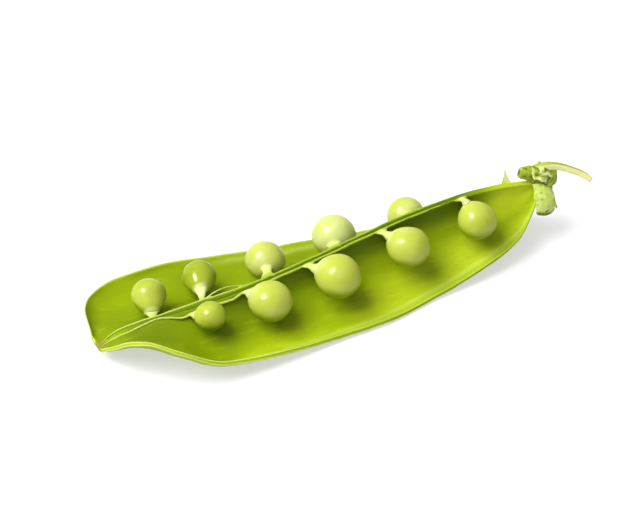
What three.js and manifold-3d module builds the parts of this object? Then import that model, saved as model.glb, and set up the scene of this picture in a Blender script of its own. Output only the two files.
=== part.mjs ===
// A garden pea pod that has been split along its back and laid open like a book.
// It is written as a three.js scene graph in millimetres, +Z up.
//
// The seam that carries the peas stands up in the middle as a ridge, and the two valves fall away
// from it and rise again to their rims. The drawing frame used below has x along the pod from the
// blunt tip (x = 0) to the neck, the front valve on -y and the back valve on +y, and the surface
// that the pod lies on at z = 0. The last lines move that frame so that its origin is the middle
// of the whole part's underside.

import * as THREE from 'three';
import { mergeVertices } from 'three/addons/utils/BufferGeometryUtils.js';
import Module from 'manifold-3d';

const wasm = await Module();
wasm.setup();

// ---------------------------------------------------------------- driving dimensions (mm, degrees)

// The pod at hand-chosen places along its length. crest is half the ridge's width, side is the
// ridge's sway to +y, ridge is the height of its top, wall is the thickness of the valves. front and
// back hold three numbers for each valve: its width measured round its curve, how steeply it falls
// from the ridge, and how steeply it rises again at its rim.
const STATIONS = [
  { x: 0.2, crest: 0.2, side: 0.0, ridge: 2.9, wall: 0.65, front: [0.7, 5, 20], back: [0.7, 10, 20] },
  { x: 1.0, crest: 0.3, side: 0.0, ridge: 2.9, wall: 0.7, front: [2.6, -14, 48], back: [1.8, 20, 40] },
  { x: 2.4, crest: 0.45, side: 0.4, ridge: 3.1, wall: 0.8, front: [7.8, -21, 51], back: [8.2, 30, 42] },
  { x: 5.0, crest: 0.6, side: 0.7, ridge: 3.6, wall: 0.85, front: [10.7, -15, 48], back: [11.75, 42, 45] },
  { x: 10.0, crest: 0.75, side: 0.4, ridge: 4.6, wall: 0.9, front: [13.3, 14, 46], back: [14.75, 54, 48] },
  { x: 18.0, crest: 0.85, side: -0.1, ridge: 5.2, wall: 0.95, front: [15.6, 52, 47], back: [15.5, 58, 48] },
  { x: 28.0, crest: 0.75, side: -0.35, ridge: 6.1, wall: 1.0, front: [16.0, 69, 42], back: [15.7, 74, 49] },
  { x: 40.0, crest: 0.65, side: -0.35, ridge: 8.0, wall: 1.0, front: [16.4, 84, 29], back: [15.8, 96, 45] },
  { x: 50.0, crest: 0.65, side: -0.15, ridge: 9.8, wall: 1.0, front: [17.1, 91, 20], back: [15.8, 104, 28] },
  { x: 60.0, crest: 0.65, side: 0.15, ridge: 11.2, wall: 1.0, front: [16.1, 96, 8], back: [15.4, 108, 14] },
  { x: 70.0, crest: 0.62, side: 0.33, ridge: 11.8, wall: 1.0, front: [13.5, 88, 3], back: [13.4, 108, 4] },
  { x: 77.0, crest: 0.6, side: 0.45, ridge: 11.3, wall: 1.0, front: [10.0, 80, 0], back: [9.8, 104, -5] },
  { x: 81.5, crest: 0.55, side: 0.5, ridge: 10.5, wall: 1.0, front: [5.1, 72, 0], back: [5.4, 98, -13] },
  { x: 83.5, crest: 0.5, side: 0.45, ridge: 10.0, wall: 1.0, front: [2.4, 66, 0], back: [2.4, 90, -23] },
];
const SECTIONS = 42; // cross-sections that the shell is drawn through
const TIP_CROWDING = 1.5; // above 1, the cross-sections stand closer together at the blunt tip
const VALVE_STEPS = 12; // points across one valve
const VALVES_PART = 0.15; // clear of the middle plane by this much, the two valves are separate walls
const ROOT_SEARCH = 200; // steps in the search for where they part

const CLEARANCE = 0.3; // between pieces that lie against each other

// Each pea by its centre (x along the pod, out from the ridge's middle line, z above the surface), its
// radius, and lead, how much nearer the tip its stalk leaves the seam.
const FRONT_PEAS = [
  { x: 69.9, out: 5.33, z: 9.95, radius: 3.4, lead: 1.9 },
  { x: 56.5, out: 5.35, z: 9.0, radius: 3.75, lead: 3.2 },
  { x: 42.7, out: 5.7, z: 7.8, radius: 4.0, lead: 3.5 },
  { x: 30.0, out: 5.47, z: 6.6, radius: 3.75, lead: 2.4 },
  { x: 19.3, out: 4.4, z: 6.1, radius: 2.7, lead: 2.1 },
];
const BACK_PEAS = [
  { x: 61.2, out: 5.2, z: 6.55, radius: 3.35, lead: 2.0 },
  { x: 47.3, out: 5.85, z: 6.55, radius: 3.9, lead: 2.5 },
  { x: 34.0, out: 5.85, z: 5.7, radius: 3.55, lead: 1.8 },
  { x: 22.3, out: 7.5, z: 4.65, radius: 3.1, lead: 2.3 },
  { x: 12.1, out: 5.25, z: 5.5, radius: 3.15, lead: 1.2 },
];
const PEA_FACETS = { around: 18, along: 11 };
const PEA_FLATTENING = 0.97; // height of a pea over its width

// The seam's two pale strands: [x, out from the ridge's middle line, height above the ridge's top].
const FRONT_CORD = [
  [3.6, 0.45, 0.8],
  [6, 0.6, 0.82],
  [9, 0.85, 0.8],
  [12, 1.35, 0.6],
  [15, 1.85, 0.2],
  [17, 1.5, 0.4],
  [19.2, 0.95, 0.72],
  [21.5, 1.4, 0.5],
  [24, 1.5, 0.45],
  [27, 0.85, 0.7],
  [33, 0.6, 0.72],
  [45, 0.53, 0.72],
  [58, 0.53, 0.72],
  [66, 0.53, 0.72],
  [73, 0.53, 0.72],
];
const BACK_CORD = [
  [2.6, 0.7, 0.97],
  [5, 0.68, 0.92],
  [8, 0.62, 0.82],
  [14, 0.62, 0.8],
  [20, 0.75, 0.85],
  [26, 0.66, 0.76],
  [36, 0.55, 0.72],
  [48, 0.53, 0.72],
  [60, 0.53, 0.72],
  [68, 0.53, 0.72],
  [76, 0.53, 0.72],
];
const CORD = { radius: 0.34, sides: 6, steps: 36 };
const STALK = { rootRadius: 0.24, endRadius: 0.85, sides: 8, steps: 4, lift: 0.3, bow: 0.5 };

// The receptacle that joins the pod to its stem: centres up its axis with a radius at each.
const RECEPTACLE = [
  { at: [84.25, 0.35, 8.7], radius: 0.8 },
  { at: [84.8, 0.4, 9.0], radius: 1.15 },
  { at: [85.4, 0.4, 10.0], radius: 1.5 },
  { at: [85.4, 0.4, 11.2], radius: 2.0 },
  { at: [85.5, 0.45, 12.1], radius: 1.9 },
  { at: [86.0, 0.5, 12.8], radius: 0.8 },
];
const RECEPTACLE_SIDES = 12;

// The five sepals: the middle line from the receptacle to the point, the greatest width, and the
// direction that the blade's outer face looks in.
const SEPALS = [
  {
    line: [[84.8, 1.3, 10.4], [83.6, 2.8, 9.0], [82.4, 3.8, 8.2], [81.3, 4.1, 8.1], [80.6, 4.2, 9.2], [80, 4.2, 11.4]],
    width: 2.4,
    faces: [0, 1, 0],
  },
  {
    line: [[84.9, 0.5, 11.8], [83.8, 0.6, 12.1], [82.5, 0.8, 12.4], [81.0, 1.1, 12.8]],
    width: 2.2,
    faces: [-0.1, -0.8, 0.6],
  },
  {
    line: [[85.8, -0.6, 11.0], [87.0, -1.2, 10.9], [86.7, -2.0, 10.3], [85.6, -2.7, 9.9]],
    width: 1.9,
    faces: [0.6, -0.7, 0.4],
  },
  {
    line: [[84.8, -0.8, 10.6], [84.2, -2.4, 10.4], [83.8, -4.2, 9.7], [83.6, -5.1, 8.2], [83.7, -5.1, 6.3]],
    width: 3.6,
    faces: [0.1, -0.8, 0.6],
  },
  {
    line: [[85.7, 0.2, 10.6], [86.3, -0.9, 9.4], [86.5, -1.5, 8.0], [86.6, -1.9, 6.6], [87.0, -2.1, 5.2]],
    width: 1.9,
    faces: [1, -0.4, 0],
  },
];
const SEPAL = { halfThickness: 0.34, steps: 8, sides: 8, rootShare: 0.62, cup: 0.25 };

// The stem, from the receptacle to its cut end.
const STEM = [
  [88.1, 0.25, 12.3],
  [89.45, 0.0, 11.65],
  [91.0, -0.35, 10.85],
  [92.6, -0.85, 9.85],
  [93.6, -1.3, 9.1],
  [94.2, -1.7, 8.5],
];
const STEM_RADIUS = { root: 0.78, middle: 0.66, end: 0.55 };
const STEM_GRID = { steps: 14, sides: 8 };

// Where the middle of the whole part's underside lies in the drawing frame.
const ORIGIN = [47.4, -0.26, 0];

// ---------------------------------------------------------------- smooth curves through the stations

// Monotone cubic curve through [position, value] pairs: it never swings past a value that it meets.
function smoothCurve(knots) {
  const spans = knots.slice(1).map((knot, i) => knot[0] - knots[i][0]);
  const rates = spans.map((span, i) => (knots[i + 1][1] - knots[i][1]) / span);
  const slopes = knots.map((_, i) => {
    if (i === 0) return rates[0];
    if (i === rates.length) return rates[i - 1];
    if (rates[i - 1] * rates[i] <= 0) return 0;
    const before = 2 * spans[i] + spans[i - 1];
    const after = spans[i] + 2 * spans[i - 1];
    return (before + after) / (before / rates[i - 1] + after / rates[i]);
  });
  return (position) => {
    let i = 0;
    while (i < spans.length - 1 && position > knots[i + 1][0]) i += 1;
    const t = (position - knots[i][0]) / spans[i];
    const keep = (1 + 2 * t) * (1 - t) ** 2;
    const leave = t * (1 - t) ** 2 * spans[i];
    const arrive = t * t * (t - 1) * spans[i];
    return keep * knots[i][1] + leave * slopes[i] + (1 - keep) * knots[i + 1][1] + arrive * slopes[i + 1];
  };
}

const column = (read) => smoothCurve(STATIONS.map((station) => [station.x, read(station)]));
const crestAt = column((station) => station.crest);
const sideAt = column((station) => station.side);
const ridgeAt = column((station) => station.ridge);
const wallAt = column((station) => station.wall);
const valveAt = {
  front: [0, 1, 2].map((place) => column((station) => station.front[place])),
  back: [0, 1, 2].map((place) => column((station) => station.back[place])),
};
const OUTWARD = { front: -1, back: 1 };

// ---------------------------------------------------------------- the shell

// One valve in the cross-section at x: an arc that leaves the ridge's edge falling and ends rising.
function valveArc(x, valve) {
  const [widthAt, fallAt, riseAt] = valveAt[valve];
  const fall = THREE.MathUtils.degToRad(fallAt(x));
  const rise = THREE.MathUtils.degToRad(riseAt(x));
  const bend = (fall + rise) / widthAt(x);
  const heading = (share) => -fall + (fall + rise) * share;
  const place = (share, depth) => {
    const angle = heading(share);
    const out = crestAt(x) + (Math.sin(angle) + Math.sin(fall)) / bend + depth * Math.sin(angle);
    const z = ridgeAt(x) - (Math.cos(angle) - Math.cos(fall)) / bend - depth * Math.cos(angle);
    return { out, z };
  };
  return {
    inner: (share) => place(share, 0),
    outer: (share) => place(share, wallAt(x)),
  };
}

// The share of the valve's width at which its outer face comes clear of the other valve's.
function partingShare(x, arc) {
  for (let step = 0; step < ROOT_SEARCH; step += 1) {
    const { out, z } = arc.outer(step / ROOT_SEARCH);
    if (out >= VALVES_PART && z <= ridgeAt(x) - wallAt(x)) return step / ROOT_SEARCH;
  }
  return 0;
}

// One valve's inner and outer points from the ridge to the rim.
function valvePoints(x, valve) {
  const arc = valveArc(x, valve);
  const root = partingShare(x, arc);
  const across = (out) => sideAt(x) + OUTWARD[valve] * out;
  const inner = [];
  const outer = [];
  for (let step = 0; step <= VALVE_STEPS; step += 1) {
    const share = step / VALVE_STEPS;
    const top = arc.inner(share);
    const under = arc.outer(root + (1 - root) * share);
    inner.push([x, across(top.out), top.z]);
    outer.push([x, across(under.out), Math.max(under.z, 0)]);
  }
  return { inner, outer };
}

// The whole cross-section as one loop: over the top from the back rim to the front rim, then under.
function shellLoop(x) {
  const front = valvePoints(x, 'front');
  const back = valvePoints(x, 'back');
  return [...back.inner.toReversed(), ...front.inner, ...front.outer.toReversed(), ...back.outer];
}

// ---------------------------------------------------------------- closed bodies from loops of points

// Skins loops of equal length one after another and closes both ends with the given faces.
function loft(loops, endFaces) {
  const count = loops[0].length;
  const faces = [];
  for (let ring = 0; ring < loops.length - 1; ring += 1) {
    for (let i = 0; i < count; i += 1) {
      const a = ring * count + i;
      const b = ring * count + ((i + 1) % count);
      faces.push(a, b, b + count, a, b + count, a + count);
    }
  }
  const last = (loops.length - 1) * count;
  for (const [a, b, c] of endFaces) {
    faces.push(c, b, a, last + a, last + b, last + c);
  }
  const geometry = new THREE.BufferGeometry();
  geometry.setAttribute('position', new THREE.Float32BufferAttribute(loops.flat(2), 3));
  geometry.setIndex(faces);
  return geometry;
}

// A fan of triangles that closes a loop with no hollow in its outline.
const fan = (count) => Array.from({ length: count - 2 }, (_, i) => [0, i + 1, i + 2]);

// Rungs of triangles that close a loop whose second half runs back under its first half.
function ladder(count) {
  const faces = [];
  for (let i = 0; i < count / 2 - 1; i += 1) {
    faces.push([i, i + 1, count - 2 - i], [i, count - 2 - i, count - 1 - i]);
  }
  return faces;
}

// Loops round a line: outline gives each loop's points as [across, up] pairs at a share of the line.
function sweep(curve, steps, facing, outline) {
  const loops = [];
  for (let step = 0; step <= steps; step += 1) {
    const share = step / steps;
    const centre = curve.getPoint(share);
    const ahead = curve.getTangent(share);
    const across = new THREE.Vector3().crossVectors(facing, ahead).normalize();
    const up = new THREE.Vector3().crossVectors(ahead, across);
    loops.push(outline(share).map(([a, u]) => [
      centre.x + a * across.x + u * up.x,
      centre.y + a * across.y + u * up.y,
      centre.z + a * across.z + u * up.z,
    ]));
  }
  return loft(loops, fan(loops[0].length));
}

// A ring of points of the given half-width and half-height.
function ring(sides, halfWidth, halfHeight) {
  return Array.from({ length: sides }, (_, i) => {
    const turn = (2 * Math.PI * i) / sides;
    return [halfWidth * Math.cos(turn), halfHeight * Math.sin(turn)];
  });
}

const through = (points) => new THREE.CatmullRomCurve3(points.map((point) => new THREE.Vector3(...point)));

// ---------------------------------------------------------------- joining bodies

function toSolid(geometry) {
  const bare = geometry.clone();
  bare.deleteAttribute('normal');
  bare.deleteAttribute('uv');
  const merged = mergeVertices(bare, 1e-4);
  return new wasm.Manifold(new wasm.Mesh({
    numProp: 3,
    vertProperties: new Float32Array(merged.attributes.position.array),
    triVerts: new Uint32Array(merged.index.array),
  }));
}

// One body from bodies that run into each other. The largest part is kept, which drops the skin of
// any bubble that the joining seals.
function join(geometries) {
  const solid = geometries.map(toSolid).reduce((whole, next) => whole.add(next));
  const larger = (one, other) => (other.volume() > one.volume() ? other : one);
  const body = solid.decompose().reduce(larger);
  const mesh = body.getMesh();
  const geometry = new THREE.BufferGeometry();
  geometry.setAttribute('position', new THREE.BufferAttribute(mesh.vertProperties, 3));
  geometry.setIndex(new THREE.BufferAttribute(mesh.triVerts, 1));
  return geometry;
}

// ---------------------------------------------------------------- the pieces

function shellGeometry() {
  const first = STATIONS[0].x;
  const reach = STATIONS.at(-1).x - first;
  const loops = [];
  for (let i = 0; i <= SECTIONS; i += 1) {
    loops.push(shellLoop(first + reach * (i / SECTIONS) ** TIP_CROWDING));
  }
  return loft(loops, ladder(loops[0].length));
}

function peaGeometry(pea) {
  const geometry = new THREE.SphereGeometry(pea.radius, PEA_FACETS.around, PEA_FACETS.along);
  geometry.scale(1, PEA_FLATTENING, 1);
  geometry.rotateX(Math.PI / 2);
  return geometry;
}

const peaCentre = (pea, valve) => new THREE.Vector3(pea.x, sideAt(pea.x) + OUTWARD[valve] * pea.out, pea.z);

// The strand's middle line, from points given against the ridge.
function cordCurve(points, valve) {
  return through(points.map(([x, out, lift]) => [x, sideAt(x) + OUTWARD[valve] * out, ridgeAt(x) + lift]));
}

// The point of the strand that is abreast of x.
function cordPoint(curve, x) {
  let low = 0;
  let high = 1;
  for (let halving = 0; halving < 20; halving += 1) {
    const middle = (low + high) / 2;
    if (curve.getPoint(middle).x < x) low = middle;
    else high = middle;
  }
  return curve.getPoint(low);
}

// A pea's stalk: it leaves the strand and widens towards the pea, which it almost meets squarely.
function stalkGeometry(pea, valve, curve) {
  const root = cordPoint(curve, pea.x - pea.lead);
  const centre = peaCentre(pea, valve);
  const away = root.clone().sub(centre).normalize();
  away.z += STALK.lift;
  away.normalize();
  const end = centre.clone().addScaledVector(away, pea.radius + CLEARANCE);
  const middle = end.clone().addScaledVector(away, STALK.bow * root.distanceTo(end));
  const line = new THREE.QuadraticBezierCurve3(root, middle, end);
  const facing = new THREE.Vector3(0, 0, 1);
  return sweep(line, STALK.steps, facing, (share) => {
    const radius = THREE.MathUtils.lerp(STALK.rootRadius, STALK.endRadius, share);
    return ring(STALK.sides, radius, radius);
  });
}

function cordGeometry(points, valve, peas) {
  const curve = cordCurve(points, valve);
  const facing = new THREE.Vector3(0, 0, 1);
  const strand = sweep(curve, CORD.steps, facing, () => ring(CORD.sides, CORD.radius, CORD.radius));
  return join([strand, ...peas.map((pea) => stalkGeometry(pea, valve, curve))]);
}

function receptacleGeometry() {
  const curve = through(RECEPTACLE.map((place) => place.at));
  const radiusAt = smoothCurve(RECEPTACLE.map((place, i) => [i / (RECEPTACLE.length - 1), place.radius]));
  const facing = new THREE.Vector3(0, 1, 0);
  return sweep(curve, 2 * RECEPTACLE.length, facing, (share) => {
    return ring(RECEPTACLE_SIDES, radiusAt(share), radiusAt(share));
  });
}

// A sepal: a thin blade, widest a third of the way along, cupped towards its inner face.
function sepalGeometry(sepal) {
  const facing = new THREE.Vector3(...sepal.faces);
  return sweep(through(sepal.line), SEPAL.steps, facing, (share) => {
    const swell = Math.sin(Math.PI * (0.22 + 0.78 * share)) ** SEPAL.rootShare;
    const halfWidth = Math.max((sepal.width / 2) * swell, SEPAL.halfThickness);
    return ring(SEPAL.sides, halfWidth, SEPAL.halfThickness).map(([across, up]) => {
      return [across, up - SEPAL.cup * (across / halfWidth) ** 2 * swell];
    });
  });
}

function stemGeometry() {
  const radiusAt = smoothCurve([[0, STEM_RADIUS.root], [0.5, STEM_RADIUS.middle], [1, STEM_RADIUS.end]]);
  const facing = new THREE.Vector3(0, 1, 0);
  return sweep(through(STEM), STEM_GRID.steps, facing, (share) => {
    return ring(STEM_GRID.sides, radiusAt(share), radiusAt(share));
  });
}

// ---------------------------------------------------------------- finishes and the scene graph

const finish = (color, roughness) => new THREE.MeshStandardMaterial({ color, roughness, metalness: 0 });
const FINISHES = {
  shell: finish(0x8fae1c, 0.45),
  strand: finish(0xdce8a6, 0.5),
  pea: finish(0xc2d55c, 0.38),
  calyx: finish(0x9cb75a, 0.6),
  stem: finish(0xa8bf48, 0.55),
};

const pod = new THREE.Group();
pod.position.set(-ORIGIN[0], -ORIGIN[1], -ORIGIN[2]);

function addPiece(name, geometry, material) {
  const mesh = new THREE.Mesh(geometry, material);
  mesh.name = name;
  pod.add(mesh);
  return mesh;
}

addPiece('pod_shell', shellGeometry(), FINISHES.shell);
addPiece('seam_cord_front', cordGeometry(FRONT_CORD, 'front', FRONT_PEAS), FINISHES.strand);
addPiece('seam_cord_back', cordGeometry(BACK_CORD, 'back', BACK_PEAS), FINISHES.strand);
for (const [valve, peas] of [['front', FRONT_PEAS], ['back', BACK_PEAS]]) {
  peas.forEach((pea, i) => {
    const mesh = addPiece(`pea_${valve}_${i + 1}`, peaGeometry(pea), FINISHES.pea);
    mesh.position.copy(peaCentre(pea, valve));
  });
}
addPiece('calyx', join([receptacleGeometry(), ...SEPALS.map(sepalGeometry)]), FINISHES.calyx);
addPiece('stem', stemGeometry(), FINISHES.stem);

const podPart = new THREE.Group();
podPart.add(pod);

export default podPart;
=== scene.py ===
"""A garden pea pod split along its back and laid open, finished over its solid model.

The classes below draw each piece in millimetres in the pod's own drawing frame: x runs along the pod
from its blunt tip to the neck, the front valve lies on -y and the back valve on +y, and z = 0 is the
surface that the pod lies on. Sketch.make moves a finished mesh into the frame of the solids, in metres.
"""

import logging
import math
from dataclasses import dataclass, field
from enum import Enum
from typing import Callable

import bpy
import numpy as np
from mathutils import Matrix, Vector


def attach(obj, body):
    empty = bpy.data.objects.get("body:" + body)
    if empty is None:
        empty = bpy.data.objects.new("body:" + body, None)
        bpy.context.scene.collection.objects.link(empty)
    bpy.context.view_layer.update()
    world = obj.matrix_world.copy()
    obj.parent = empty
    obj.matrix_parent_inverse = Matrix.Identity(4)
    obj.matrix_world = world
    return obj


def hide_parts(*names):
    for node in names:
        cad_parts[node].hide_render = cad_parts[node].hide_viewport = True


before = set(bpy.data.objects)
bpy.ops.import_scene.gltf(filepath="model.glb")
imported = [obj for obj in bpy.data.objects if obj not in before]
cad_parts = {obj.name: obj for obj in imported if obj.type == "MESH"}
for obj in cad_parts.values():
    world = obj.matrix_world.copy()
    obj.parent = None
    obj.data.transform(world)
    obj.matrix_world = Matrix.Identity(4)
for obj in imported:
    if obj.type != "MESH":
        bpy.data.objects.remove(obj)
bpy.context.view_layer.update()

log = logging.getLogger("pea_pod")

BODY = "root"
MM = 0.001
ORIGIN = np.array([47.4, -0.26, 0.0])  # the solids' origin in the drawing frame, mm
UP = np.array([0.0, 0.0, 1.0])
BACKWARD = np.array([0.0, 1.0, 0.0])


class Valve(Enum):
    """The pod's two halves, by the side of the ridge that they open to."""

    FRONT = -1
    BACK = 1

    @property
    def word(self) -> str:
        """The valve's name in lower case."""
        return self.name.lower()


class Slot(Enum):
    """The material slots of the part's record."""

    POD = "pod_skin"
    STRAND = "seam_strand"
    PEA = "pea_skin"
    CALYX = "calyx_leaf"
    STEM = "stem_skin"


# ---------------------------------------------------------------- curves


class SmoothCurve:
    """A monotone cubic curve through (position, value) pairs: it never swings past a value it meets."""

    def __init__(self, knots: list[tuple[float, float]]) -> None:
        """Fits the curve.

        Args:
            knots: the pairs, with rising positions.
        """
        self.at = np.array([knot[0] for knot in knots], float)
        self.value = np.array([knot[1] for knot in knots], float)
        span = np.diff(self.at)
        rate = np.diff(self.value) / span
        slope = np.zeros(len(self.at))
        slope[0], slope[-1] = rate[0], rate[-1]
        for i in range(1, len(rate)):
            if rate[i - 1] * rate[i] > 0:
                before = 2 * span[i] + span[i - 1]
                after = span[i] + 2 * span[i - 1]
                slope[i] = (before + after) / (before / rate[i - 1] + after / rate[i])
        self.slope = slope

    def __call__(self, position: np.ndarray) -> np.ndarray:
        """The curve's value.

        Args:
            position: where to read it, of any shape.

        Returns:
            The values, in the same shape.
        """
        position = np.asarray(position, float)
        i = np.clip(np.searchsorted(self.at, position, side="right") - 1, 0, len(self.at) - 2)
        span = self.at[i + 1] - self.at[i]
        t = (position - self.at[i]) / span
        keep = (1 + 2 * t) * (1 - t) ** 2
        leave = t * (1 - t) ** 2 * span
        arrive = t * t * (t - 1) * span
        return (
            keep * self.value[i]
            + leave * self.slope[i]
            + (1 - keep) * self.value[i + 1]
            + arrive * self.slope[i + 1]
        )


class Spine:
    """A smooth line through points in space, with a frame of directions along it."""

    def __init__(self, points: list[tuple[float, float, float]]) -> None:
        """Keeps the points, with one more past each end.

        Args:
            points: the places that the line passes through, mm.
        """
        inner = np.array(points, float)
        first = 2 * inner[0] - inner[1]
        last = 2 * inner[-1] - inner[-2]
        self.points = np.vstack([first, inner, last])
        self.spans = len(inner) - 1

    def at(self, share: np.ndarray) -> np.ndarray:
        """Points on the line.

        Args:
            share: how far along, 0 to 1.

        Returns:
            One row of x, y, z for each share.
        """
        place = np.clip(np.asarray(share, float), 0, 1) * self.spans
        i = np.minimum(place.astype(int), self.spans - 1)
        t = (place - i)[:, None]
        p0, p1, p2, p3 = (self.points[i + k] for k in range(4))
        d0, d1, d2 = (
            np.maximum(np.linalg.norm(b - a, axis=1), 1e-9)[:, None] ** 0.5
            for a, b in ((p0, p1), (p1, p2), (p2, p3))
        )
        leave = ((p1 - p0) / d0 - (p2 - p0) / (d0 + d1) + (p2 - p1) / d1) * d1
        arrive = ((p2 - p1) / d1 - (p3 - p1) / (d1 + d2) + (p3 - p2) / d2) * d1
        bend = -3 * p1 + 3 * p2 - 2 * leave - arrive
        twist = 2 * p1 - 2 * p2 + leave + arrive
        return p1 + leave * t + bend * t**2 + twist * t**3

    def frames(self, share: np.ndarray, facing: np.ndarray) -> tuple[np.ndarray, np.ndarray, np.ndarray]:
        """Points on the line with the directions across it and up from it, carried along without twist.

        Args:
            share: how far along, 0 to 1, rising.
            facing: the direction that "up" leans towards at the start.

        Returns:
            The points, the unit directions across, and the unit directions up.
        """
        step = 1e-3
        centre = self.at(share)
        ahead = unit(self.at(share + step) - self.at(share - step))
        across = np.empty_like(ahead)
        carried = np.cross(facing, ahead[0])
        for i, heading in enumerate(ahead):
            carried = unit(carried - heading * (heading @ carried))
            across[i] = carried
        return centre, across, np.cross(ahead, across)


def unit(rows: np.ndarray) -> np.ndarray:
    """The rows at length 1."""
    return rows / np.maximum(np.linalg.norm(rows, axis=-1, keepdims=True), 1e-12)


def ease(value: np.ndarray, start: float, end: float) -> np.ndarray:
    """A smooth rise from 0 at start to 1 at end.

    Args:
        value: what is compared with start and end.
        start: where the rise begins.
        end: where it is complete. It may be lower than start.

    Returns:
        The height of the rise, in the shape of value.
    """
    t = np.clip((np.asarray(value, float) - start) / (end - start), 0, 1)
    return t * t * (3 - 2 * t)


def swell(value: np.ndarray, centre: float, reach: float) -> np.ndarray:
    """A smooth bump of height 1 round centre that fades over about reach."""
    return np.exp(-(((np.asarray(value, float) - centre) / reach) ** 2))


def angles(sides: int) -> np.ndarray:
    """Evenly spaced angles once round, one for each side."""
    return np.linspace(0, 2 * math.pi, sides, endpoint=False)


def rings_round(
    line: tuple[np.ndarray, np.ndarray, np.ndarray], wide: np.ndarray, tall: np.ndarray
) -> np.ndarray:
    """Rings of points round a line.

    Args:
        line: its points, with the unit directions across it and up from it at each.
        wide: how far each ring's points stand out across the line, mm, one row for each ring.
        tall: how far they stand up from it, mm.

    Returns:
        The points, by ring and side.
    """
    centre, across, up = line
    return centre[:, None] + across[:, None] * wide[..., None] + up[:, None] * tall[..., None]


@dataclass(frozen=True)
class Undulation:
    """Gentle unevenness: a seeded sum of waves that run in every direction.

    Attributes:
        seed: settles the waves.
        length: the usual distance between crests, mm.
        waves: how many are summed.
    """

    seed: int
    length: float
    waves: int = 14

    def __call__(self, points: np.ndarray) -> np.ndarray:
        """The height at each point, mostly between -1 and 1.

        Args:
            points: places, mm, in the last axis.

        Returns:
            One height for each point.
        """
        draw = np.random.default_rng(self.seed)
        heading = unit(draw.normal(size=(self.waves, 3)))
        pitch = 2 * math.pi / (self.length * draw.uniform(0.7, 1.6, self.waves))
        start = draw.uniform(0, 2 * math.pi, self.waves)
        phase = points @ (heading * pitch[:, None]).T + start
        return np.sin(phase).sum(axis=-1) * math.sqrt(2 / self.waves) / 2


# ---------------------------------------------------------------- meshes


@dataclass
class Sketch:
    """A mesh being drawn, in millimetres in the drawing frame.

    Attributes:
        points: blocks of x, y, z rows.
        faces: corner numbers of each face.
        marks: named blocks of one number for each point, which finishes read.
    """

    points: list[np.ndarray] = field(default_factory=list)
    faces: list[tuple[int, ...]] = field(default_factory=list)
    marks: dict[str, list[np.ndarray]] = field(default_factory=dict)

    def count(self) -> int:
        """How many points there are so far."""
        return sum(len(block) for block in self.points)

    def add(self, points: np.ndarray, **marks: np.ndarray | float) -> int:
        """Adds points.

        Args:
            points: the points to add, with x, y, z in the last axis.
            marks: under each name, numbers that spread over the points' other axes.

        Returns:
            The number of the first point added.
        """
        first = self.count()
        grid = np.asarray(points, float)
        self.points.append(grid.reshape(-1, 3))
        for name, value in marks.items():
            spread = np.broadcast_to(np.asarray(value, float), grid.shape[:-1])
            self.marks.setdefault(name, []).append(spread.ravel())
        return first

    def skin(self, first: int, rings: int, sides: int, flip: bool = False) -> None:
        """Joins closed rings of points, one after another, with four-sided faces.

        Args:
            first: the first ring's first point.
            rings: how many rings there are.
            sides: points in each ring.
            flip: turns the faces over.
        """
        for r in range(rings - 1):
            for s in range(sides):
                a = first + r * sides + s
                b = first + r * sides + (s + 1) % sides
                face = (a, b, b + sides, a + sides)
                self.faces.append(face[::-1] if flip else face)

    def cap(self, ring: int, sides: int, tip: np.ndarray, flip: bool = False, **marks: float) -> None:
        """Closes a ring with triangles to one point.

        Args:
            ring: the ring's first point.
            sides: points in the ring.
            tip: the point.
            flip: turns the faces over.
            marks: the point's marks.
        """
        middle = self.add(np.asarray(tip, float)[None, :], **marks)
        for s in range(sides):
            face = (ring + s, ring + (s + 1) % sides, middle)
            self.faces.append(face[::-1] if flip else face)

    def tube(
        self,
        rings: np.ndarray,
        tips: tuple[np.ndarray, np.ndarray] | None = None,
        tip_marks: tuple[dict[str, float], dict[str, float]] = ({}, {}),
        **marks: np.ndarray,
    ) -> None:
        """Adds a closed tube.

        Args:
            rings: its points, by ring and side.
            tips: the points that close its first and last ring, or None for the middles of the rings.
            tip_marks: the marks of those two points.
            marks: the marks of the rings.
        """
        count, sides = rings.shape[:2]
        first, last = tips or (rings[0].mean(axis=0), rings[-1].mean(axis=0))
        start = self.add(rings, **marks)
        self.skin(start, count, sides)
        self.cap(start, sides, first, True, **tip_marks[0])
        self.cap(start + (count - 1) * sides, sides, last, **tip_marks[1])

    def make(self, name: str) -> bpy.types.Object:
        """Makes the Blender object, in metres in the solids' frame.

        Args:
            name: the object's name.

        Returns:
            The object, linked to the scene and shaded smooth.
        """
        rows = (np.vstack(self.points) - ORIGIN) * MM
        mesh = bpy.data.meshes.new(name)
        mesh.from_pydata([tuple(row) for row in rows], [], self.faces)
        mesh.validate()
        for mark, blocks in self.marks.items():
            write_mark(mesh, mark, np.concatenate(blocks))
        mesh.shade_smooth()
        made = bpy.data.objects.new(name, mesh)
        bpy.context.scene.collection.objects.link(made)
        return made


def write_mark(mesh: bpy.types.Mesh, name: str, values: np.ndarray) -> None:
    """Stores one number for each point of a mesh.

    Args:
        mesh: the mesh.
        name: the attribute's name, which finishes read.
        values: the numbers.
    """
    attribute = mesh.attributes.get(name) or mesh.attributes.new(name, "FLOAT", "POINT")
    attribute.data.foreach_set("value", np.asarray(values, np.float32))


def read_points(mesh: bpy.types.Mesh) -> np.ndarray:
    """Reads a mesh's points.

    Args:
        mesh: the mesh.

    Returns:
        One row of x, y, z for each point, in millimetres in the drawing frame.
    """
    flat = np.empty(len(mesh.vertices) * 3)
    mesh.vertices.foreach_get("co", flat)
    return flat.reshape(-1, 3) / MM + ORIGIN


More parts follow.
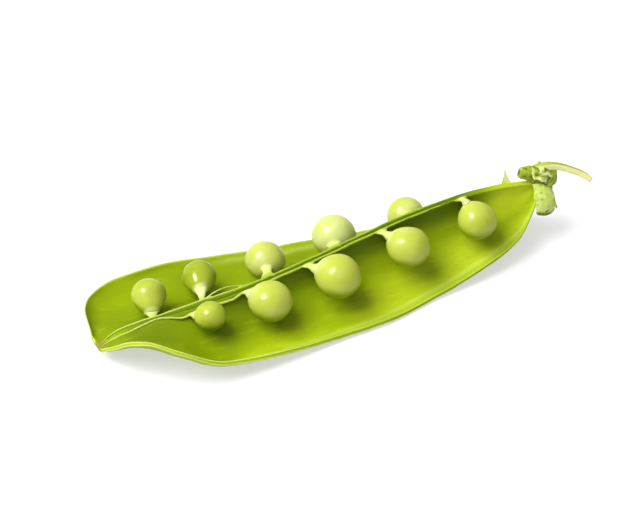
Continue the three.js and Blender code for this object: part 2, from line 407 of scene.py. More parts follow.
def fuse(made: bpy.types.Object, cell: float, passes: int) -> None:
    """Turns an object whose closed bodies run into each other into one smooth body.

    Args:
        made: the object. Its mesh is replaced.
        cell: the size of the new mesh's faces, mm.
        passes: how many times the new surface is smoothed.
    """
    remesh = made.modifiers.new("fuse", "REMESH")
    remesh.mode = "VOXEL"
    remesh.voxel_size = cell * MM
    smooth = made.modifiers.new("soften", "SMOOTH")
    smooth.factor = 0.5
    smooth.iterations = passes
    grown = made.evaluated_get(bpy.context.evaluated_depsgraph_get())
    mesh = bpy.data.meshes.new_from_object(grown)
    made.modifiers.clear()
    old, made.data = made.data, mesh
    bpy.data.meshes.remove(old)
    mesh.name = made.name
    mesh.shade_smooth()


def fit(made: bpy.types.Object, material: bpy.types.Material, node: str) -> None:
    """Puts a finished piece in its place on the pod.

    Args:
        made: the piece.
        material: its material.
        node: the solid that it stands for.
    """
    made.data.materials.clear()
    made.data.materials.append(material)
    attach(made, BODY)
    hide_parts(node)


# ---------------------------------------------------------------- shader maths


class Tap:
    """One output of a node. Python expressions can be written on it where it is a number."""

    def __init__(self, nodes: "Nodes", socket: bpy.types.NodeSocket) -> None:
        """Wraps an output socket of one of the nodes."""
        self.nodes = nodes
        self.socket = socket

    def _math(self, operation: str, a: "Tap | float", b: "Tap | float") -> "Tap":
        """Adds a Math node on two values."""
        return self.nodes.tap(self.nodes.node("ShaderNodeMath", {"operation": operation}, {0: a, 1: b}))

    def __add__(self, other: "Tap | float") -> "Tap":
        """self + other."""
        return self._math("ADD", self, other)

    def __radd__(self, other: "Tap | float") -> "Tap":
        """other + self."""
        return self._math("ADD", other, self)

    def __sub__(self, other: "Tap | float") -> "Tap":
        """self - other."""
        return self._math("SUBTRACT", self, other)

    def __rsub__(self, other: "Tap | float") -> "Tap":
        """other - self."""
        return self._math("SUBTRACT", other, self)

    def __mul__(self, other: "Tap | float") -> "Tap":
        """self * other."""
        return self._math("MULTIPLY", self, other)

    def __rmul__(self, other: "Tap | float") -> "Tap":
        """other * self."""
        return self._math("MULTIPLY", other, self)

    def within(self, low: float, high: float) -> "Tap":
        """A smooth 0 to 1 as the value goes from low to high."""
        made = self.nodes.node(
            "ShaderNodeMapRange",
            {"interpolation_type": "SMOOTHSTEP"},
            {"Value": self, "From Min": low, "From Max": high},
        )
        return self.nodes.tap(made, "Result")


Colour = tuple[float, float, float]
Stretch = tuple[float, float, float]
EVEN: Stretch = (1.0, 1.0, 1.0)


class Nodes:
    """The nodes of a material or of the surroundings."""

    def __init__(self, owner: bpy.types.Material | bpy.types.World) -> None:
        """Clears the owner's nodes.

        Args:
            owner: what the nodes belong to.
        """
        owner.use_nodes = True
        self.tree = owner.node_tree
        self.tree.nodes.clear()

    def node(self, kind: str, settings: dict | None = None, inputs: dict | None = None) -> bpy.types.Node:
        """Adds any node.

        Args:
            kind: the node's type.
            settings: its properties, set first.
            inputs: values or links by socket name or number.

        Returns:
            The node.
        """
        made = self.tree.nodes.new(kind)
        for key, value in (settings or {}).items():
            setattr(made, key, value)
        for key, value in (inputs or {}).items():
            socket = made.inputs[key]
            if isinstance(value, Tap):
                self.tree.links.new(value.socket, socket)
            elif isinstance(value, tuple) and socket.type == "RGBA":
                socket.default_value = (*value, 1.0)
            else:
                socket.default_value = value
        return made

    def tap(self, made: bpy.types.Node, output: str | int = 0) -> Tap:
        """One output of a node."""
        return Tap(self, made.outputs[output])


class Recipe(Nodes):
    """The nodes of one material."""

    def __init__(self, name: str) -> None:
        """Starts a material with no nodes."""
        self.material = bpy.data.materials.new(name)
        super().__init__(self.material)

    def mark(self, name: str) -> Tap:
        """A number that the mesh carries at its points."""
        return self.tap(self.node("ShaderNodeAttribute", {"attribute_name": name}), "Fac")

    def place(self, stretch: Stretch = EVEN) -> Tap:
        """The point on the surface.

        Args:
            stretch: what its place along each axis is multiplied by.

        Returns:
            The point, in metres before it is multiplied.
        """
        here = self.tap(self.node("ShaderNodeTexCoord"), "Object")
        made = self.node("ShaderNodeVectorMath", {"operation": "MULTIPLY"}, {0: here, 1: stretch})
        return self.tap(made)

    def noise(self, size: float, detail: float = 3.0, stretch: Stretch = EVEN) -> Tap:
        """Cloudy noise from 0 to 1.

        Args:
            size: the usual distance between light and dark, mm.
            detail: how many finer layers there are.
            stretch: below 1, it draws the pattern out along that axis.

        Returns:
            The noise.
        """
        made = self.node(
            "ShaderNodeTexNoise",
            {"noise_dimensions": "3D"},
            {"Vector": self.place(stretch), "Scale": 1 / (size * MM), "Detail": detail},
        )
        return self.tap(made)

    def cells(self, size: float, feature: str = "F1") -> Tap:
        """The distance to the nearest of scattered points, or to the border of its cell.

        Args:
            size: the usual distance between the points, mm.
            feature: "F1" for the distance to the point, "DISTANCE_TO_EDGE" for that to the border.

        Returns:
            The distance, about 0 to 1.
        """
        made = self.node(
            "ShaderNodeTexVoronoi",
            {"feature": feature},
            {"Vector": self.place(), "Scale": 1 / (size * MM)},
        )
        return self.tap(made, "Distance")

    def mix(self, share: Tap | float, a: Tap | Colour, b: Tap | Colour) -> Tap:
        """Colour a turning into colour b."""
        made = self.node("ShaderNodeMix", {"data_type": "RGBA"}, {0: share, 6: a, 7: b})
        return self.tap(made, 2)

    def bump(self, height: Tap, depth: float, strength: float = 1.0) -> Tap:
        """A normal that shows height as relief.

        Args:
            height: 0 to 1.
            depth: how high 1 stands, mm.
            strength: how much of the relief shows.

        Returns:
            The normal.
        """
        relief = {"Height": height, "Distance": depth * MM, "Strength": strength}
        return self.tap(self.node("ShaderNodeBump", None, relief))

    def surface(self, **inputs: Tap | float | Colour) -> bpy.types.Material:
        """Ends the recipe with one Principled surface.

        Args:
            inputs: its sockets, by name with underscores for spaces.

        Returns:
            The material.
        """
        named = {key.replace("_", " "): value for key, value in inputs.items()}
        shader = self.node("ShaderNodeBsdfPrincipled", None, named)
        self.node("ShaderNodeOutputMaterial", None, {"Surface": self.tap(shader)})
        return self.material


# ---------------------------------------------------------------- finishes


@dataclass(frozen=True)
class PodSkin:
    """The pod wall: satin and moist inside, waxy and finely grained outside, with pale cut rims.

    Attributes:
        inside: the lining's colour.
        deep: the lining's darker green, which it takes towards the ridge, at random and where painted shade
            is laid on it.
        warm: the lining where it is yellower.
        outside: the outer skin's colour.
        edge: the pale lines of the rims.
        crest: the green of the ridge.
        groove: painted shade: the dark line in the ridge's groove, the gap between the strands near the tip,
            the fold under the ridge and the hollows beside the ridge at the tip.
        dry: the brown of the dry tip.
    """

    inside: Colour = (0.285, 0.372, 0.0018)
    deep: Colour = (0.15, 0.212, 0.0005)
    warm: Colour = (0.37, 0.445, 0.015)
    outside: Colour = (0.22, 0.32, 0.012)
    edge: Colour = (0.46, 0.52, 0.13)
    crest: Colour = (0.19, 0.28, 0.002)
    groove: Colour = (0.06, 0.10, 0.0006)
    dry: Colour = (0.21, 0.19, 0.03)

    def material(self) -> bpy.types.Material:
        """Mixes the finish.

        Returns:
            The material. It reads the marks share, young, outer, edge, crest, groove and dry.
        """
        r = Recipe("pod_skin")
        share, outer, edge = r.mark("share"), r.mark("outer"), r.mark("edge")
        clouds = r.noise(9.0, 2.0, (0.45, 1.0, 1.0))
        streaks = r.noise(1.3, 4.0, (0.22, 1.0, 1.0))
        mottle = r.noise(0.55, 3.0)
        # This mark carries painted light above 0, which turns the lining lighter and yellower, and painted
        # shade below 0, which turns it darker.
        painted_lighting = r.mark("painted_lighting")
        ripeness = (share * 0.5 + clouds * 0.9 + painted_lighting).within(0.35, 1.05)
        warmth = (clouds * 0.7 + share * 0.55 + streaks * 0.35 + painted_lighting).within(0.75, 1.3)
        lining = r.mix(ripeness, self.deep, self.inside)
        lining = r.mix(warmth, lining, self.warm)
        lining = r.mix(streaks.within(0.55, 0.8) * 0.35, lining, self.warm)
        fibres = r.noise(0.45, 3.0, (0.14, 1.0, 1.0))
        lining = r.mix(fibres.within(0.5, 0.75) * 0.22, lining, self.deep)
        lining = r.mix(r.mark("crest"), lining, self.crest)
        # The groove mark is painted shade, in the ridge's groove, between the strands near the tip, in the
        # fold under the ridge and in the hollows at the tip.
        lining = r.mix(r.mark("groove"), lining, self.groove)
        skin = r.mix(mottle.within(0.3, 0.75), self.outside, self.inside)
        specks = 1 - r.cells(0.9).within(0.06, 0.16)
        skin = r.mix(specks * 0.3, skin, self.edge)
        colour = r.mix(outer, lining, skin)
        colour = r.mix(edge, colour, self.edge)
        colour = r.mix(r.mark("dry"), colour, self.dry)
        relief = r.bump(streaks * 0.6 + mottle * 0.4 + clouds * 0.8, 0.05, 0.55)
        rough = 0.42 + 0.16 * mottle + 0.1 * outer + 0.1 * r.mark("dry")
        return r.surface(
            Base_Color=colour,
            Roughness=rough,
            Normal=relief,
            Subsurface_Weight=0.12,
            Subsurface_Radius=(1.0, 1.2, 0.1),
            Subsurface_Scale=0.6 * MM,
            Specular_IOR_Level=0.07,
        )


@dataclass(frozen=True)
class StrandSkin:
    """The seam's strands and stalks: pale moist tissue, greener along the ridge.

    Attributes:
        pale: the colour of stalks and bare strands.
        cream: the palest parts.
        green: the colour where the strand has taken on the ridge's green.
    """

    pale: Colour = (0.42, 0.49, 0.10)
    cream: Colour = (0.62, 0.67, 0.27)
    green: Colour = (0.22, 0.31, 0.003)

    def material(self) -> bpy.types.Material:
        """Mixes the finish.

        Returns:
            The material. It reads the mark pale.
        """
        r = Recipe("seam_strand")
        fibres = r.noise(0.35, 3.0, (0.25, 1.0, 1.0))
        clouds = r.noise(1.6, 2.0)
        pale = r.mark("pale")
        colour = r.mix(pale.within(0.05, 0.6), self.green, self.pale)
        colour = r.mix((pale * 0.9 + clouds * 0.5).within(0.85, 1.35), colour, self.cream)
        colour = r.mix(fibres.within(0.5, 0.8) * 0.35, colour, self.green)
        return r.surface(
            Base_Color=colour,
            Roughness=0.34 + 0.2 * fibres,
            Normal=r.bump(fibres, 0.06, 0.6),
            Subsurface_Weight=0.35,
            Subsurface_Radius=(1.0, 1.1, 0.4),
            Subsurface_Scale=0.7 * MM,
            Specular_IOR_Level=0.5,
        )


@dataclass(frozen=True)
class PeaSkin:
    """A pea's seed coat: smooth, softly glossy, a little paler towards its stalk, with painted shade on its
    underside.

    Attributes:
        deep: the darkest green: painted shade on the underside, and the colour of the least milky peas.
        ripe: the fuller green.
        green: the usual colour.
        pale: the milky colour of the paler peas and of the part near the stalk.
        scar: the colour round the stalk.
    """

    deep: Colour = (0.17, 0.235, 0.0015)
    ripe: Colour = (0.26, 0.31, 0.016)
    green: Colour = (0.35, 0.40, 0.045)
    pale: Colour = (0.46, 0.50, 0.175)
    scar: Colour = (0.57, 0.62, 0.25)

    def material(self) -> bpy.types.Material:
        """Mixes the finish.

        Returns:
            The material. It reads the marks pallor and stalk.
        """
        r = Recipe("pea_skin")
        pallor, stalk = r.mark("pallor"), r.mark("stalk")
        clouds = r.noise(2.6, 3.0)
        grain = r.noise(0.3, 3.0)
        pores = 1 - r.cells(0.42).within(0.05, 0.2)
        tone = pallor + (clouds - 0.5) * 0.55
        # Low tone includes the painted shade on the underside, which turns the coat towards the deep colour.
        colour = r.mix(tone.within(-0.4, 0.1), self.deep, self.ripe)
        colour = r.mix(tone.within(0.05, 0.5), colour, self.green)
        colour = r.mix(tone.within(0.5, 1.1), colour, self.pale)
        colour = r.mix(pores * 0.16, colour, self.pale)
        colour = r.mix(stalk.within(0.15, 0.9), colour, self.scar)
        return r.surface(
            Base_Color=colour,
            Roughness=0.24 + 0.1 * grain + 0.08 * clouds,
            Normal=r.bump(grain * 0.5 + clouds * 0.7, 0.035, 0.4),
            Subsurface_Weight=0.3,
            Subsurface_Radius=(1.0, 1.1, 0.3),
            Subsurface_Scale=0.9 * MM,
            Specular_IOR_Level=0.1,
            Coat_Weight=0.26,
            Coat_Roughness=0.17,
        )


@dataclass(frozen=True)
class LeafSkin:
    """The calyx: thin soft leaf with pale veins, dark at the tips and where it has bruised.

    Attributes:
        blade: the leaf between the veins.
        light: the leaf where it is thin and pale.
        thin: painted light: the glow of light coming through a thin leaf.
        vein: the veins.
        bruise: the dark tips and spots.
    """

    blade: Colour = (0.26, 0.33, 0.012)
    light: Colour = (0.44, 0.52, 0.15)
    thin: Colour = (0.95, 0.98, 0.50)
    vein: Colour = (0.56, 0.60, 0.24)
    bruise: Colour = (0.13, 0.155, 0.010)

    def material(self) -> bpy.types.Material:
        """Mixes the finish.

        Returns:
            The material. It reads the marks light, vein and dark.
        """
        r = Recipe("calyx_leaf")
        clouds = r.noise(1.1, 3.0)
        net = 1 - r.cells(0.55, "DISTANCE_TO_EDGE").within(0.02, 0.12)
        spots = r.noise(0.6, 2.0)
        light = r.mark("light")
        colour = r.mix((light + (clouds - 0.5)).within(0.1, 0.9), self.blade, self.light)
        # Above 1, the light mark paints the glow of light coming through the leaf.
        colour = r.mix(light.within(1.0, 1.7), colour, self.thin)
        colour = r.mix(net * (0.08 + 0.16 * light.within(0.0, 1.0)), colour, self.vein)
        colour = r.mix(r.mark("vein") * 0.4, colour, self.vein)
        colour = r.mix((r.mark("dark") + (spots - 0.5) * 1.1).within(0.3, 0.75), colour, self.bruise)
        return r.surface(
            Base_Color=colour,
            Roughness=0.5 + 0.15 * clouds,
            Normal=r.bump(net * 0.5 + clouds * 0.5, 0.08, 0.6),
            Subsurface_Weight=0.25,
            Subsurface_Radius=(1.0, 1.2, 0.4),
            Subsurface_Scale=0.6 * MM,
            Specular_IOR_Level=0.15,
        )


@dataclass(frozen=True)
class StemSkin:
    """The stem: ribbed green stalk, paler below, browned at the cut.

    Attributes:
        green: the upper side.
        pale: the lower side and the ribs.
        cut: the cut end.
        bark: the brown skin beside the cut.
    """

    green: Colour = (0.28, 0.34, 0.03)
    pale: Colour = (0.72, 0.74, 0.30)
    cut: Colour = (0.78, 0.66, 0.55)
    bark: Colour = (0.50, 0.34, 0.20)

    def material(self) -> bpy.types.Material:
        """Mixes the finish.

        Returns:
            The material. It reads the marks rib, under and cut.
        """
        r = Recipe("stem_skin")
        fibres = r.noise(0.4, 4.0, (0.2, 1.0, 1.0))
        under = r.mark("under")
        colour = r.mix((under + (fibres - 0.5) * 0.5).within(0.1, 0.8), self.green, self.pale)
        colour = r.mix(r.mark("rib") * (0.1 + 0.4 * under), colour, self.pale)
        cut = r.mark("cut")
        colour = r.mix(cut.within(0.1, 0.5), colour, self.bark)
        colour = r.mix(cut.within(0.6, 0.95), colour, self.cut)
        return r.surface(
            Base_Color=colour,
            Roughness=0.42 + 0.18 * fibres,
            Normal=r.bump(fibres, 0.08, 0.6),
            Subsurface_Weight=0.2,
            Subsurface_Radius=(1.0, 1.1, 0.4),
            Subsurface_Scale=0.6 * MM,
            Specular_IOR_Level=0.4,
        )


@dataclass(frozen=True)
class FloorFinish:
    """A plain pale floor with the faintest unevenness.

    Attributes:
        tone: its colour.
        shade: its slightly darker cloud.
        light: the colour of the light that comes up through it, as on a light table.
        glow: how strong that light is.
    """

    tone: Colour = (0.41, 0.40, 0.42)
    shade: Colour = (0.40, 0.39, 0.41)
    light: Colour = (1.0, 1.0, 1.0)
    glow: float = 0.53

    def material(self) -> bpy.types.Material:
        """Mixes the finish.

        Returns:
            The material.
        """
        r = Recipe("floor")
        colour = r.mix(r.noise(60.0, 2.0), self.shade, self.tone)
        return r.surface(
            Base_Color=colour,
            Roughness=0.85,
            Specular_IOR_Level=0.2,
            Emission_Color=self.light,
            Emission_Strength=self.glow,
        )


# ---------------------------------------------------------------- the pod's form


@dataclass(frozen=True)
class Station:
    """The pod's section at one place along it, in millimetres and degrees.

    Attributes:
        x: the place.
        crest: half the ridge's width.
        side: the ridge's sway to +y.
        ridge: the height of the ridge's top.
        wall: the valves' thickness.
        front: the front valve's width, measured round its curve, how steeply it falls from the ridge
            and how steeply it rises again at its rim.
        back: the same for the back valve.
    """

    x: float
    crest: float
    side: float
    ridge: float
    wall: float
    front: tuple[float, float, float]
    back: tuple[float, float, float]


STATIONS = (
    Station(0.2, 0.2, 0.0, 2.9, 0.65, (0.7, 5, 20), (0.7, 10, 20)),
    Station(1.0, 0.3, 0.0, 2.9, 0.7, (2.6, -14, 48), (1.8, 20, 40)),
    Station(2.4, 0.45, 0.4, 3.1, 0.8, (7.8, -21, 51), (8.2, 30, 42)),
    Station(5.0, 0.6, 0.7, 3.6, 0.85, (10.7, -15, 48), (11.75, 42, 45)),
    Station(10.0, 0.75, 0.4, 4.6, 0.9, (13.3, 14, 46), (14.75, 54, 48)),
    Station(18.0, 0.85, -0.1, 5.2, 0.95, (15.6, 52, 47), (15.5, 58, 48)),
    Station(28.0, 0.75, -0.35, 6.1, 1.0, (16.0, 69, 42), (15.7, 74, 49)),
    Station(40.0, 0.65, -0.35, 8.0, 1.0, (16.4, 84, 29), (15.8, 96, 45)),
    Station(50.0, 0.65, -0.15, 9.8, 1.0, (17.1, 91, 20), (15.8, 104, 28)),
    Station(60.0, 0.65, 0.15, 11.2, 1.0, (16.1, 96, 8), (15.4, 108, 14)),
    Station(70.0, 0.62, 0.33, 11.8, 1.0, (13.5, 88, 3), (13.4, 108, 4)),
    Station(77.0, 0.6, 0.45, 11.3, 1.0, (10.0, 80, 0), (9.8, 104, -5)),
    Station(81.5, 0.55, 0.5, 10.5, 1.0, (5.1, 72, 0), (5.4, 98, -13)),
    Station(83.5, 0.5, 0.45, 10.0, 1.0, (2.4, 66, 0), (2.4, 90, -23)),
)


@dataclass
class PodForm:
    """The smooth form of the pod's wall, which every piece is set against.

    Attributes:
        stations: the sections that the form passes through.
        valves_part: clear of the middle plane by this much, the valves are separate walls, mm.
        search_steps: how finely the parting place is searched for.
    """

    stations: tuple[Station, ...] = STATIONS
    valves_part: float = 0.15
    search_steps: int = 1200

    def __post_init__(self) -> None:
        """Fits a curve to each column of the stations."""
        self.crest = self._column(lambda s: s.crest)
        self.side = self._column(lambda s: s.side)
        self.ridge = self._column(lambda s: s.ridge)
        self.wall = self._column(lambda s: s.wall)
        self.width = {v: self._column(lambda s, v=v: getattr(s, v.word)[0]) for v in Valve}
        self.fall = {v: self._column(lambda s, v=v: getattr(s, v.word)[1]) for v in Valve}
        self.rise = {v: self._column(lambda s, v=v: getattr(s, v.word)[2]) for v in Valve}

    def _column(self, read: Callable[[Station], float]) -> SmoothCurve:
        """The curve of one value along the pod."""
        return SmoothCurve([(s.x, read(s)) for s in self.stations])

    def section(
        self, x: np.ndarray, valve: Valve, share: np.ndarray, depth: np.ndarray
    ) -> tuple[np.ndarray, np.ndarray]:
        """A valve's surface in cross-section.

        Args:
            x: places along the pod, mm.
            valve: which valve.
            share: how far from the ridge to the rim, 0 to 1.
            depth: how far below the lining, mm.

        Returns:
            The distance out from the middle plane, and the height.
        """
        fall = np.radians(self.fall[valve](x))
        rise = np.radians(self.rise[valve](x))
        bend = (fall + rise) / self.width[valve](x)
        angle = -fall + (fall + rise) * share
        out = self.crest(x) + (np.sin(angle) + np.sin(fall)) / bend + depth * np.sin(angle)
        z = self.ridge(x) - (np.cos(angle) - np.cos(fall)) / bend - depth * np.cos(angle)
        return out, z

    def root_share(self, x: np.ndarray, valve: Valve) -> np.ndarray:
        """Where the outer face comes clear of the other valve's.

        Args:
            x: places along the pod, mm.
            valve: which valve.

        Returns:
            The share of the valve's width at each place.
        """
        shares = np.linspace(0, 1, self.search_steps)
        out, z = self.section(x[:, None], valve, shares[None, :], self.wall(x)[:, None])
        clear = (out >= self.valves_part) & (z <= (self.ridge(x) - self.wall(x))[:, None])
        return shares[np.argmax(clear, axis=1)]

    def at(self, x: np.ndarray, valve: Valve, out: np.ndarray, z: np.ndarray) -> np.ndarray:
        """Points from places along, out from the ridge's middle line, and up."""
        x, out, z = np.broadcast_arrays(x, out, z)
        return np.stack([x, self.side(x) + valve.value * out, z], axis=-1)


# ---------------------------------------------------------------- the shell


@dataclass(frozen=True)
class LightShadePatch:
    """A stretch of painted light or painted shade on the lining, with soft borders.

    Attributes:
        amount: how far it departs.
        along: spans of places along the pod, mm, over each of which it goes from nothing to whole.
        across: the span of shares from ridge to rim over which it goes from nothing to whole.
        valve: the only valve that it shows on. The ridge goes with the front one.
    """

    amount: float
    along: tuple[tuple[float, float], ...]
    across: tuple[float, float] | None = None
    valve: Valve | None = None

    def over(self, x: np.ndarray, share: np.ndarray, back: np.ndarray) -> np.ndarray:
        """The patch's strength.

        Args:
            x: the places of the lining's points along the pod, by section and column.
            share: the share from ridge to rim of each column.
            back: 1 for the back valve's columns and 0 for the others.

        Returns:
            The strength at each point.
        """
        strength = np.full(x.shape, self.amount)
        for start, end in self.along:
            strength *= ease(x, start, end)
        if self.across:
            strength *= ease(share, *self.across)
        if self.valve is not None:
            strength *= back if self.valve is Valve.BACK else 1 - back
        return strength


@dataclass
class PodShell:
    """Both valves and the ridge that joins them, grown as one wall.

    Attributes:
        form: the pod's form.
        peas: the peas in each valve.
        sections: cross-sections along the pod.
        crowding: above 1, the cross-sections stand closer at the blunt tip.
        steps: points across one valve.
        crest_points: points across the ridge between the valves.
        rim_at: places across the cut rim, 0 inside to 1 outside.
        rim_out: how far the rim stands out at those places, as a share of the wall's thickness.
        rim_pale: how pale the rim is at those places.
        rim_green: how green it is between its pale lines.
        margin: where the band along the rim begins, as a share of the valve's width.
        margin_width: half the width of the raised line there, as such a share.
        margin_height: how high that line stands, mm.
        relief: the lining's unevenness, mm.
        fine_relief: its finer part, as a share of the whole.
        swelling: how far the outer skin swells over each pea, mm.
        outer_relief: the outer skin's unevenness, mm.
        pinch: how much thinner the wall is at its rim, as a share of its thickness.
        pinch_inside: how much of that is taken from the lining's side, 0 to 1.
        pinch_from: where the wall begins to thin, as a share of the valve's width.
        groove: the depth of the groove along the ridge, as a share of half its width.
        rim_fade: how pale the rim still is towards the neck, as a share of rim_pale.
        cheek: how far the back valve bellies out past the tip, mm.
        cheek_out: where the cheek sets in, out from the ridge's middle line, mm.
        cheek_along: where it sets in along the pod, towards the tip, mm.
        nub: where the dry remnant of the flower stood, mm.
        crown: how far the ridge's top bulges, as a share of half its width.
        band_begins: where the band along the rim sets in along the pod, mm.
        rim_pales: the span along the pod over which the rim turns fully pale, towards the tip, mm.
        groove_shade_shows: where the painted shade in the ridge's groove sets in from the tip and from the
            neck, mm.
        crest_shows: where the ridge's green sets in from the neck, mm.
        ridge_shade: where the whole ridge between the strands is painted with shade, from the tip and from
            the middle, mm.
        ridge_shade_strength: how dark that painted shade is.
        painted_light_and_shade: patches of painted light on the lining, above 0, and of painted shade, below
            0.
        painted_shades: patches of painted shade on the lining, in the fold under the ridge and in the hollows
            beside it at the tip.
    """

    form: PodForm
    peas: dict[Valve, list["Pea"]]
    sections: int = 280
    crowding: float = 1.4
    steps: int = 44
    crest_points: int = 9
    rim_at: tuple[float, ...] = (0.05, 0.15, 0.3, 0.5, 0.7, 0.85, 0.95)
    rim_out: tuple[float, ...] = (0.09, 0.13, 0.05, 0.02, 0.05, 0.13, 0.09)
    rim_pale: tuple[float, ...] = (0.9, 0.9, 0.2, 0.0, 0.15, 0.8, 0.8)
    rim_green: float = 0.6
    margin: float = 0.915
    margin_width: float = 0.028
    margin_height: float = 0.06
    relief: float = 0.16
    fine_relief: float = 0.18
    swelling: float = 0.35
    outer_relief: float = 0.05
    pinch: float = 0.35
    pinch_inside: float = 0.55
    pinch_from: float = 0.7
    groove: float = 0.7
    rim_fade: float = 0.35
    cheek: float = 0.95
    cheek_out: tuple[float, float] = (0.6, 2.6)
    cheek_along: tuple[float, float] = (12.0, 2.5)
    nub: tuple[float, float, float] = (0.7, -0.2, 2.8)
    crown: float = 0.12
    band_begins: tuple[float, float] = (22.0, 34.0)
    rim_pales: tuple[float, float] = (42.0, 22.0)
    groove_shade_shows: tuple[tuple[float, float], ...] = ((3.0, 10.0), (74.0, 62.0))
    crest_shows: tuple[float, float] = (80.0, 68.0)
    ridge_shade: tuple[tuple[float, float], ...] = ((3.0, 9.0), (38.0, 29.0))
    ridge_shade_strength: float = 0.6
    # Painted light and shade on the lining: shade over the back valve, beside the ridge near the tip and over
    # the front valve near the tip; light near the ridge at the neck, with a little shade towards the rim
    # there.
    painted_light_and_shade: tuple[LightShadePatch, ...] = (
        LightShadePatch(-0.25, ((66.0, 56.0),), None, Valve.BACK),
        LightShadePatch(-0.12, ((28.0, 36.0), (66.0, 56.0)), None, Valve.BACK),
        LightShadePatch(-0.8, ((32.0, 18.0),), (0.48, 0.15)),
        LightShadePatch(-0.65, ((26.0, 12.0),), (0.1, 0.4), Valve.FRONT),
        LightShadePatch(0.6, ((68.0, 78.0),), (0.65, 0.15)),
        LightShadePatch(-0.1, ((68.0, 78.0),), (0.45, 0.7)),
    )
    # Painted shade: in the hollows beside the ridge at the tip, on both valves, and in the fold under the
    # ridge along the front valve.
    painted_shades: tuple[LightShadePatch, ...] = (
        LightShadePatch(0.5, ((3.0, 7.0), (17.0, 10.0)), (0.6, 0.25), Valve.FRONT),
        LightShadePatch(0.35, ((3.0, 8.0), (24.0, 15.0)), (0.45, 0.2), Valve.BACK),
        LightShadePatch(0.75, ((22.0, 32.0), (77.0, 68.0)), (0.32, 0.12), Valve.FRONT),
    )

    def _spread(self) -> np.ndarray:
        """The places of the cross-sections along the pod."""
        first, last = self.form.stations[0].x, self.form.stations[-1].x
        return first + (last - first) * np.linspace(0, 1, self.sections) ** self.crowding

    def _over(self, x: np.ndarray) -> tuple[np.ndarray, np.ndarray, np.ndarray, np.ndarray]:
        """The lining from the back rim over the ridge to the front rim.

        Args:
            x: the cross-sections.

        Returns:
            The points, the share from ridge to rim of each column, how much it belongs to the ridge,
            and how deep it lies in the ridge's groove.
        """
        form = self.form
        share = np.linspace(0, 1, self.steps + 1)
        sheets = {}
        for valve in Valve:
            pinched = self._pinched(x) * self.pinch_inside * ease(share, self.pinch_from, 1.0)[None, :]
            out, z = form.section(x[:, None], valve, share[None, :], pinched * form.wall(x)[:, None])
            sheets[valve] = form.at(x[:, None], valve, out, z)
        side = np.linspace(1, -1, self.crest_points + 2)[1:-1]
        y = form.side(x)[:, None] + form.crest(x)[:, None] * side[None, :]
        groove = self.groove * self._grooved(x)[:, None] * swell(side, 0.0, 0.34)[None, :]
        lift = self.crown * (1 - side**4)[None, :] - groove
        z = form.ridge(x)[:, None] + lift * form.crest(x)[:, None]
        top = np.stack([np.broadcast_to(x[:, None], y.shape), y, z], axis=-1)
        points = np.concatenate([sheets[Valve.BACK][:, ::-1], top, sheets[Valve.FRONT]], axis=1)
        shares = np.concatenate([share[::-1], np.zeros(self.crest_points), share])
        beside = ease(share, 0.05, 0.0)
        crest = np.concatenate([beside[::-1], np.ones(self.crest_points), beside])
        dark = np.concatenate([np.zeros(len(share)), swell(side, 0.0, 0.4), np.zeros(len(share))])
        return points, shares, crest, dark

    def _pinched(self, x: np.ndarray) -> np.ndarray:
        """How much thinner the wall is at its rim: less so near the tip."""
        return self.pinch * (0.3 + 0.7 * ease(x, 20.0, 40.0))[:, None]

    @staticmethod
    def _grooved(x: np.ndarray) -> np.ndarray:
        """How deep the ridge's groove is along the pod, as a share of its full depth."""
        return (0.3 + 0.7 * ease(x, 12.0, 26.0)) * ease(x, 74.0, 64.0)

    def _under(self, x: np.ndarray) -> np.ndarray:
        """The outer skin from the back rim under the ridge to the front rim.

        Args:
            x: the cross-sections.

        Returns:
            The points.
        """
        form = self.form
        step = np.linspace(0, 1, self.steps + 1)
        sheets = {}
        for valve in Valve:
            root = form.root_share(x, valve)[:, None]
            thin = ease(step, self.pinch_from, 1.0)[None, :]
            thinned = 1 - self._pinched(x) * (1 - self.pinch_inside) * thin
            depth = form.wall(x)[:, None] * thinned
            out, z = form.section(x[:, None], valve, root + (1 - root) * step[None, :], depth)
            sheets[valve] = form.at(x[:, None], valve, out, np.maximum(z, 0.0))
        a, b = sheets[Valve.BACK][:, 0], sheets[Valve.FRONT][:, 0]
        t = np.linspace(0, 1, self.crest_points + 2)[1:-1][None, :, None]
        between = a[:, None] * (1 - t) + b[:, None] * t
        return np.concatenate([sheets[Valve.BACK][:, ::-1], between, sheets[Valve.FRONT]], axis=1)

    @staticmethod
    def _normals(sheet: np.ndarray) -> np.ndarray:
        """The directions that a sheet of points faces in.

        Args:
            sheet: the lining or the outer skin.

        Returns:
            Unit normals, on the side that the lining faces.
        """
        along = np.gradient(sheet, axis=0)
        across = np.gradient(sheet, axis=1)
        return unit(np.cross(across, along))

    def _uneven(self, over: np.ndarray, share: np.ndarray) -> np.ndarray:
        """The lining with its soft waves and the raised line that bounds the rim's band.

        Args:
            over: the lining's points.
            share: the share from ridge to rim of each column.

        Returns:
            The moved points.
        """
        clear = ease(share, 0.06, 0.3) * ease(share, 1.0, 0.93)
        broad = Undulation(11, 9.0)(over * np.array([0.8, 1.0, 1.0]))
        fine = Undulation(12, 2.6)(over * np.array([0.5, 1.0, 1.0]))
        height = self.relief * (broad + self.fine_relief * fine) * clear[None, :]
        height = height + self.margin_height * self._margin_line(over[..., 0], share)
        return over + self._normals(over) * height[..., None]

    def _margin_line(self, x: np.ndarray, share: np.ndarray) -> np.ndarray:
        """How much of the line that bounds the rim's band shows, 0 to 1."""
        return swell(share, self.margin, self.margin_width)[None, :] * ease(x, *self.band_begins)

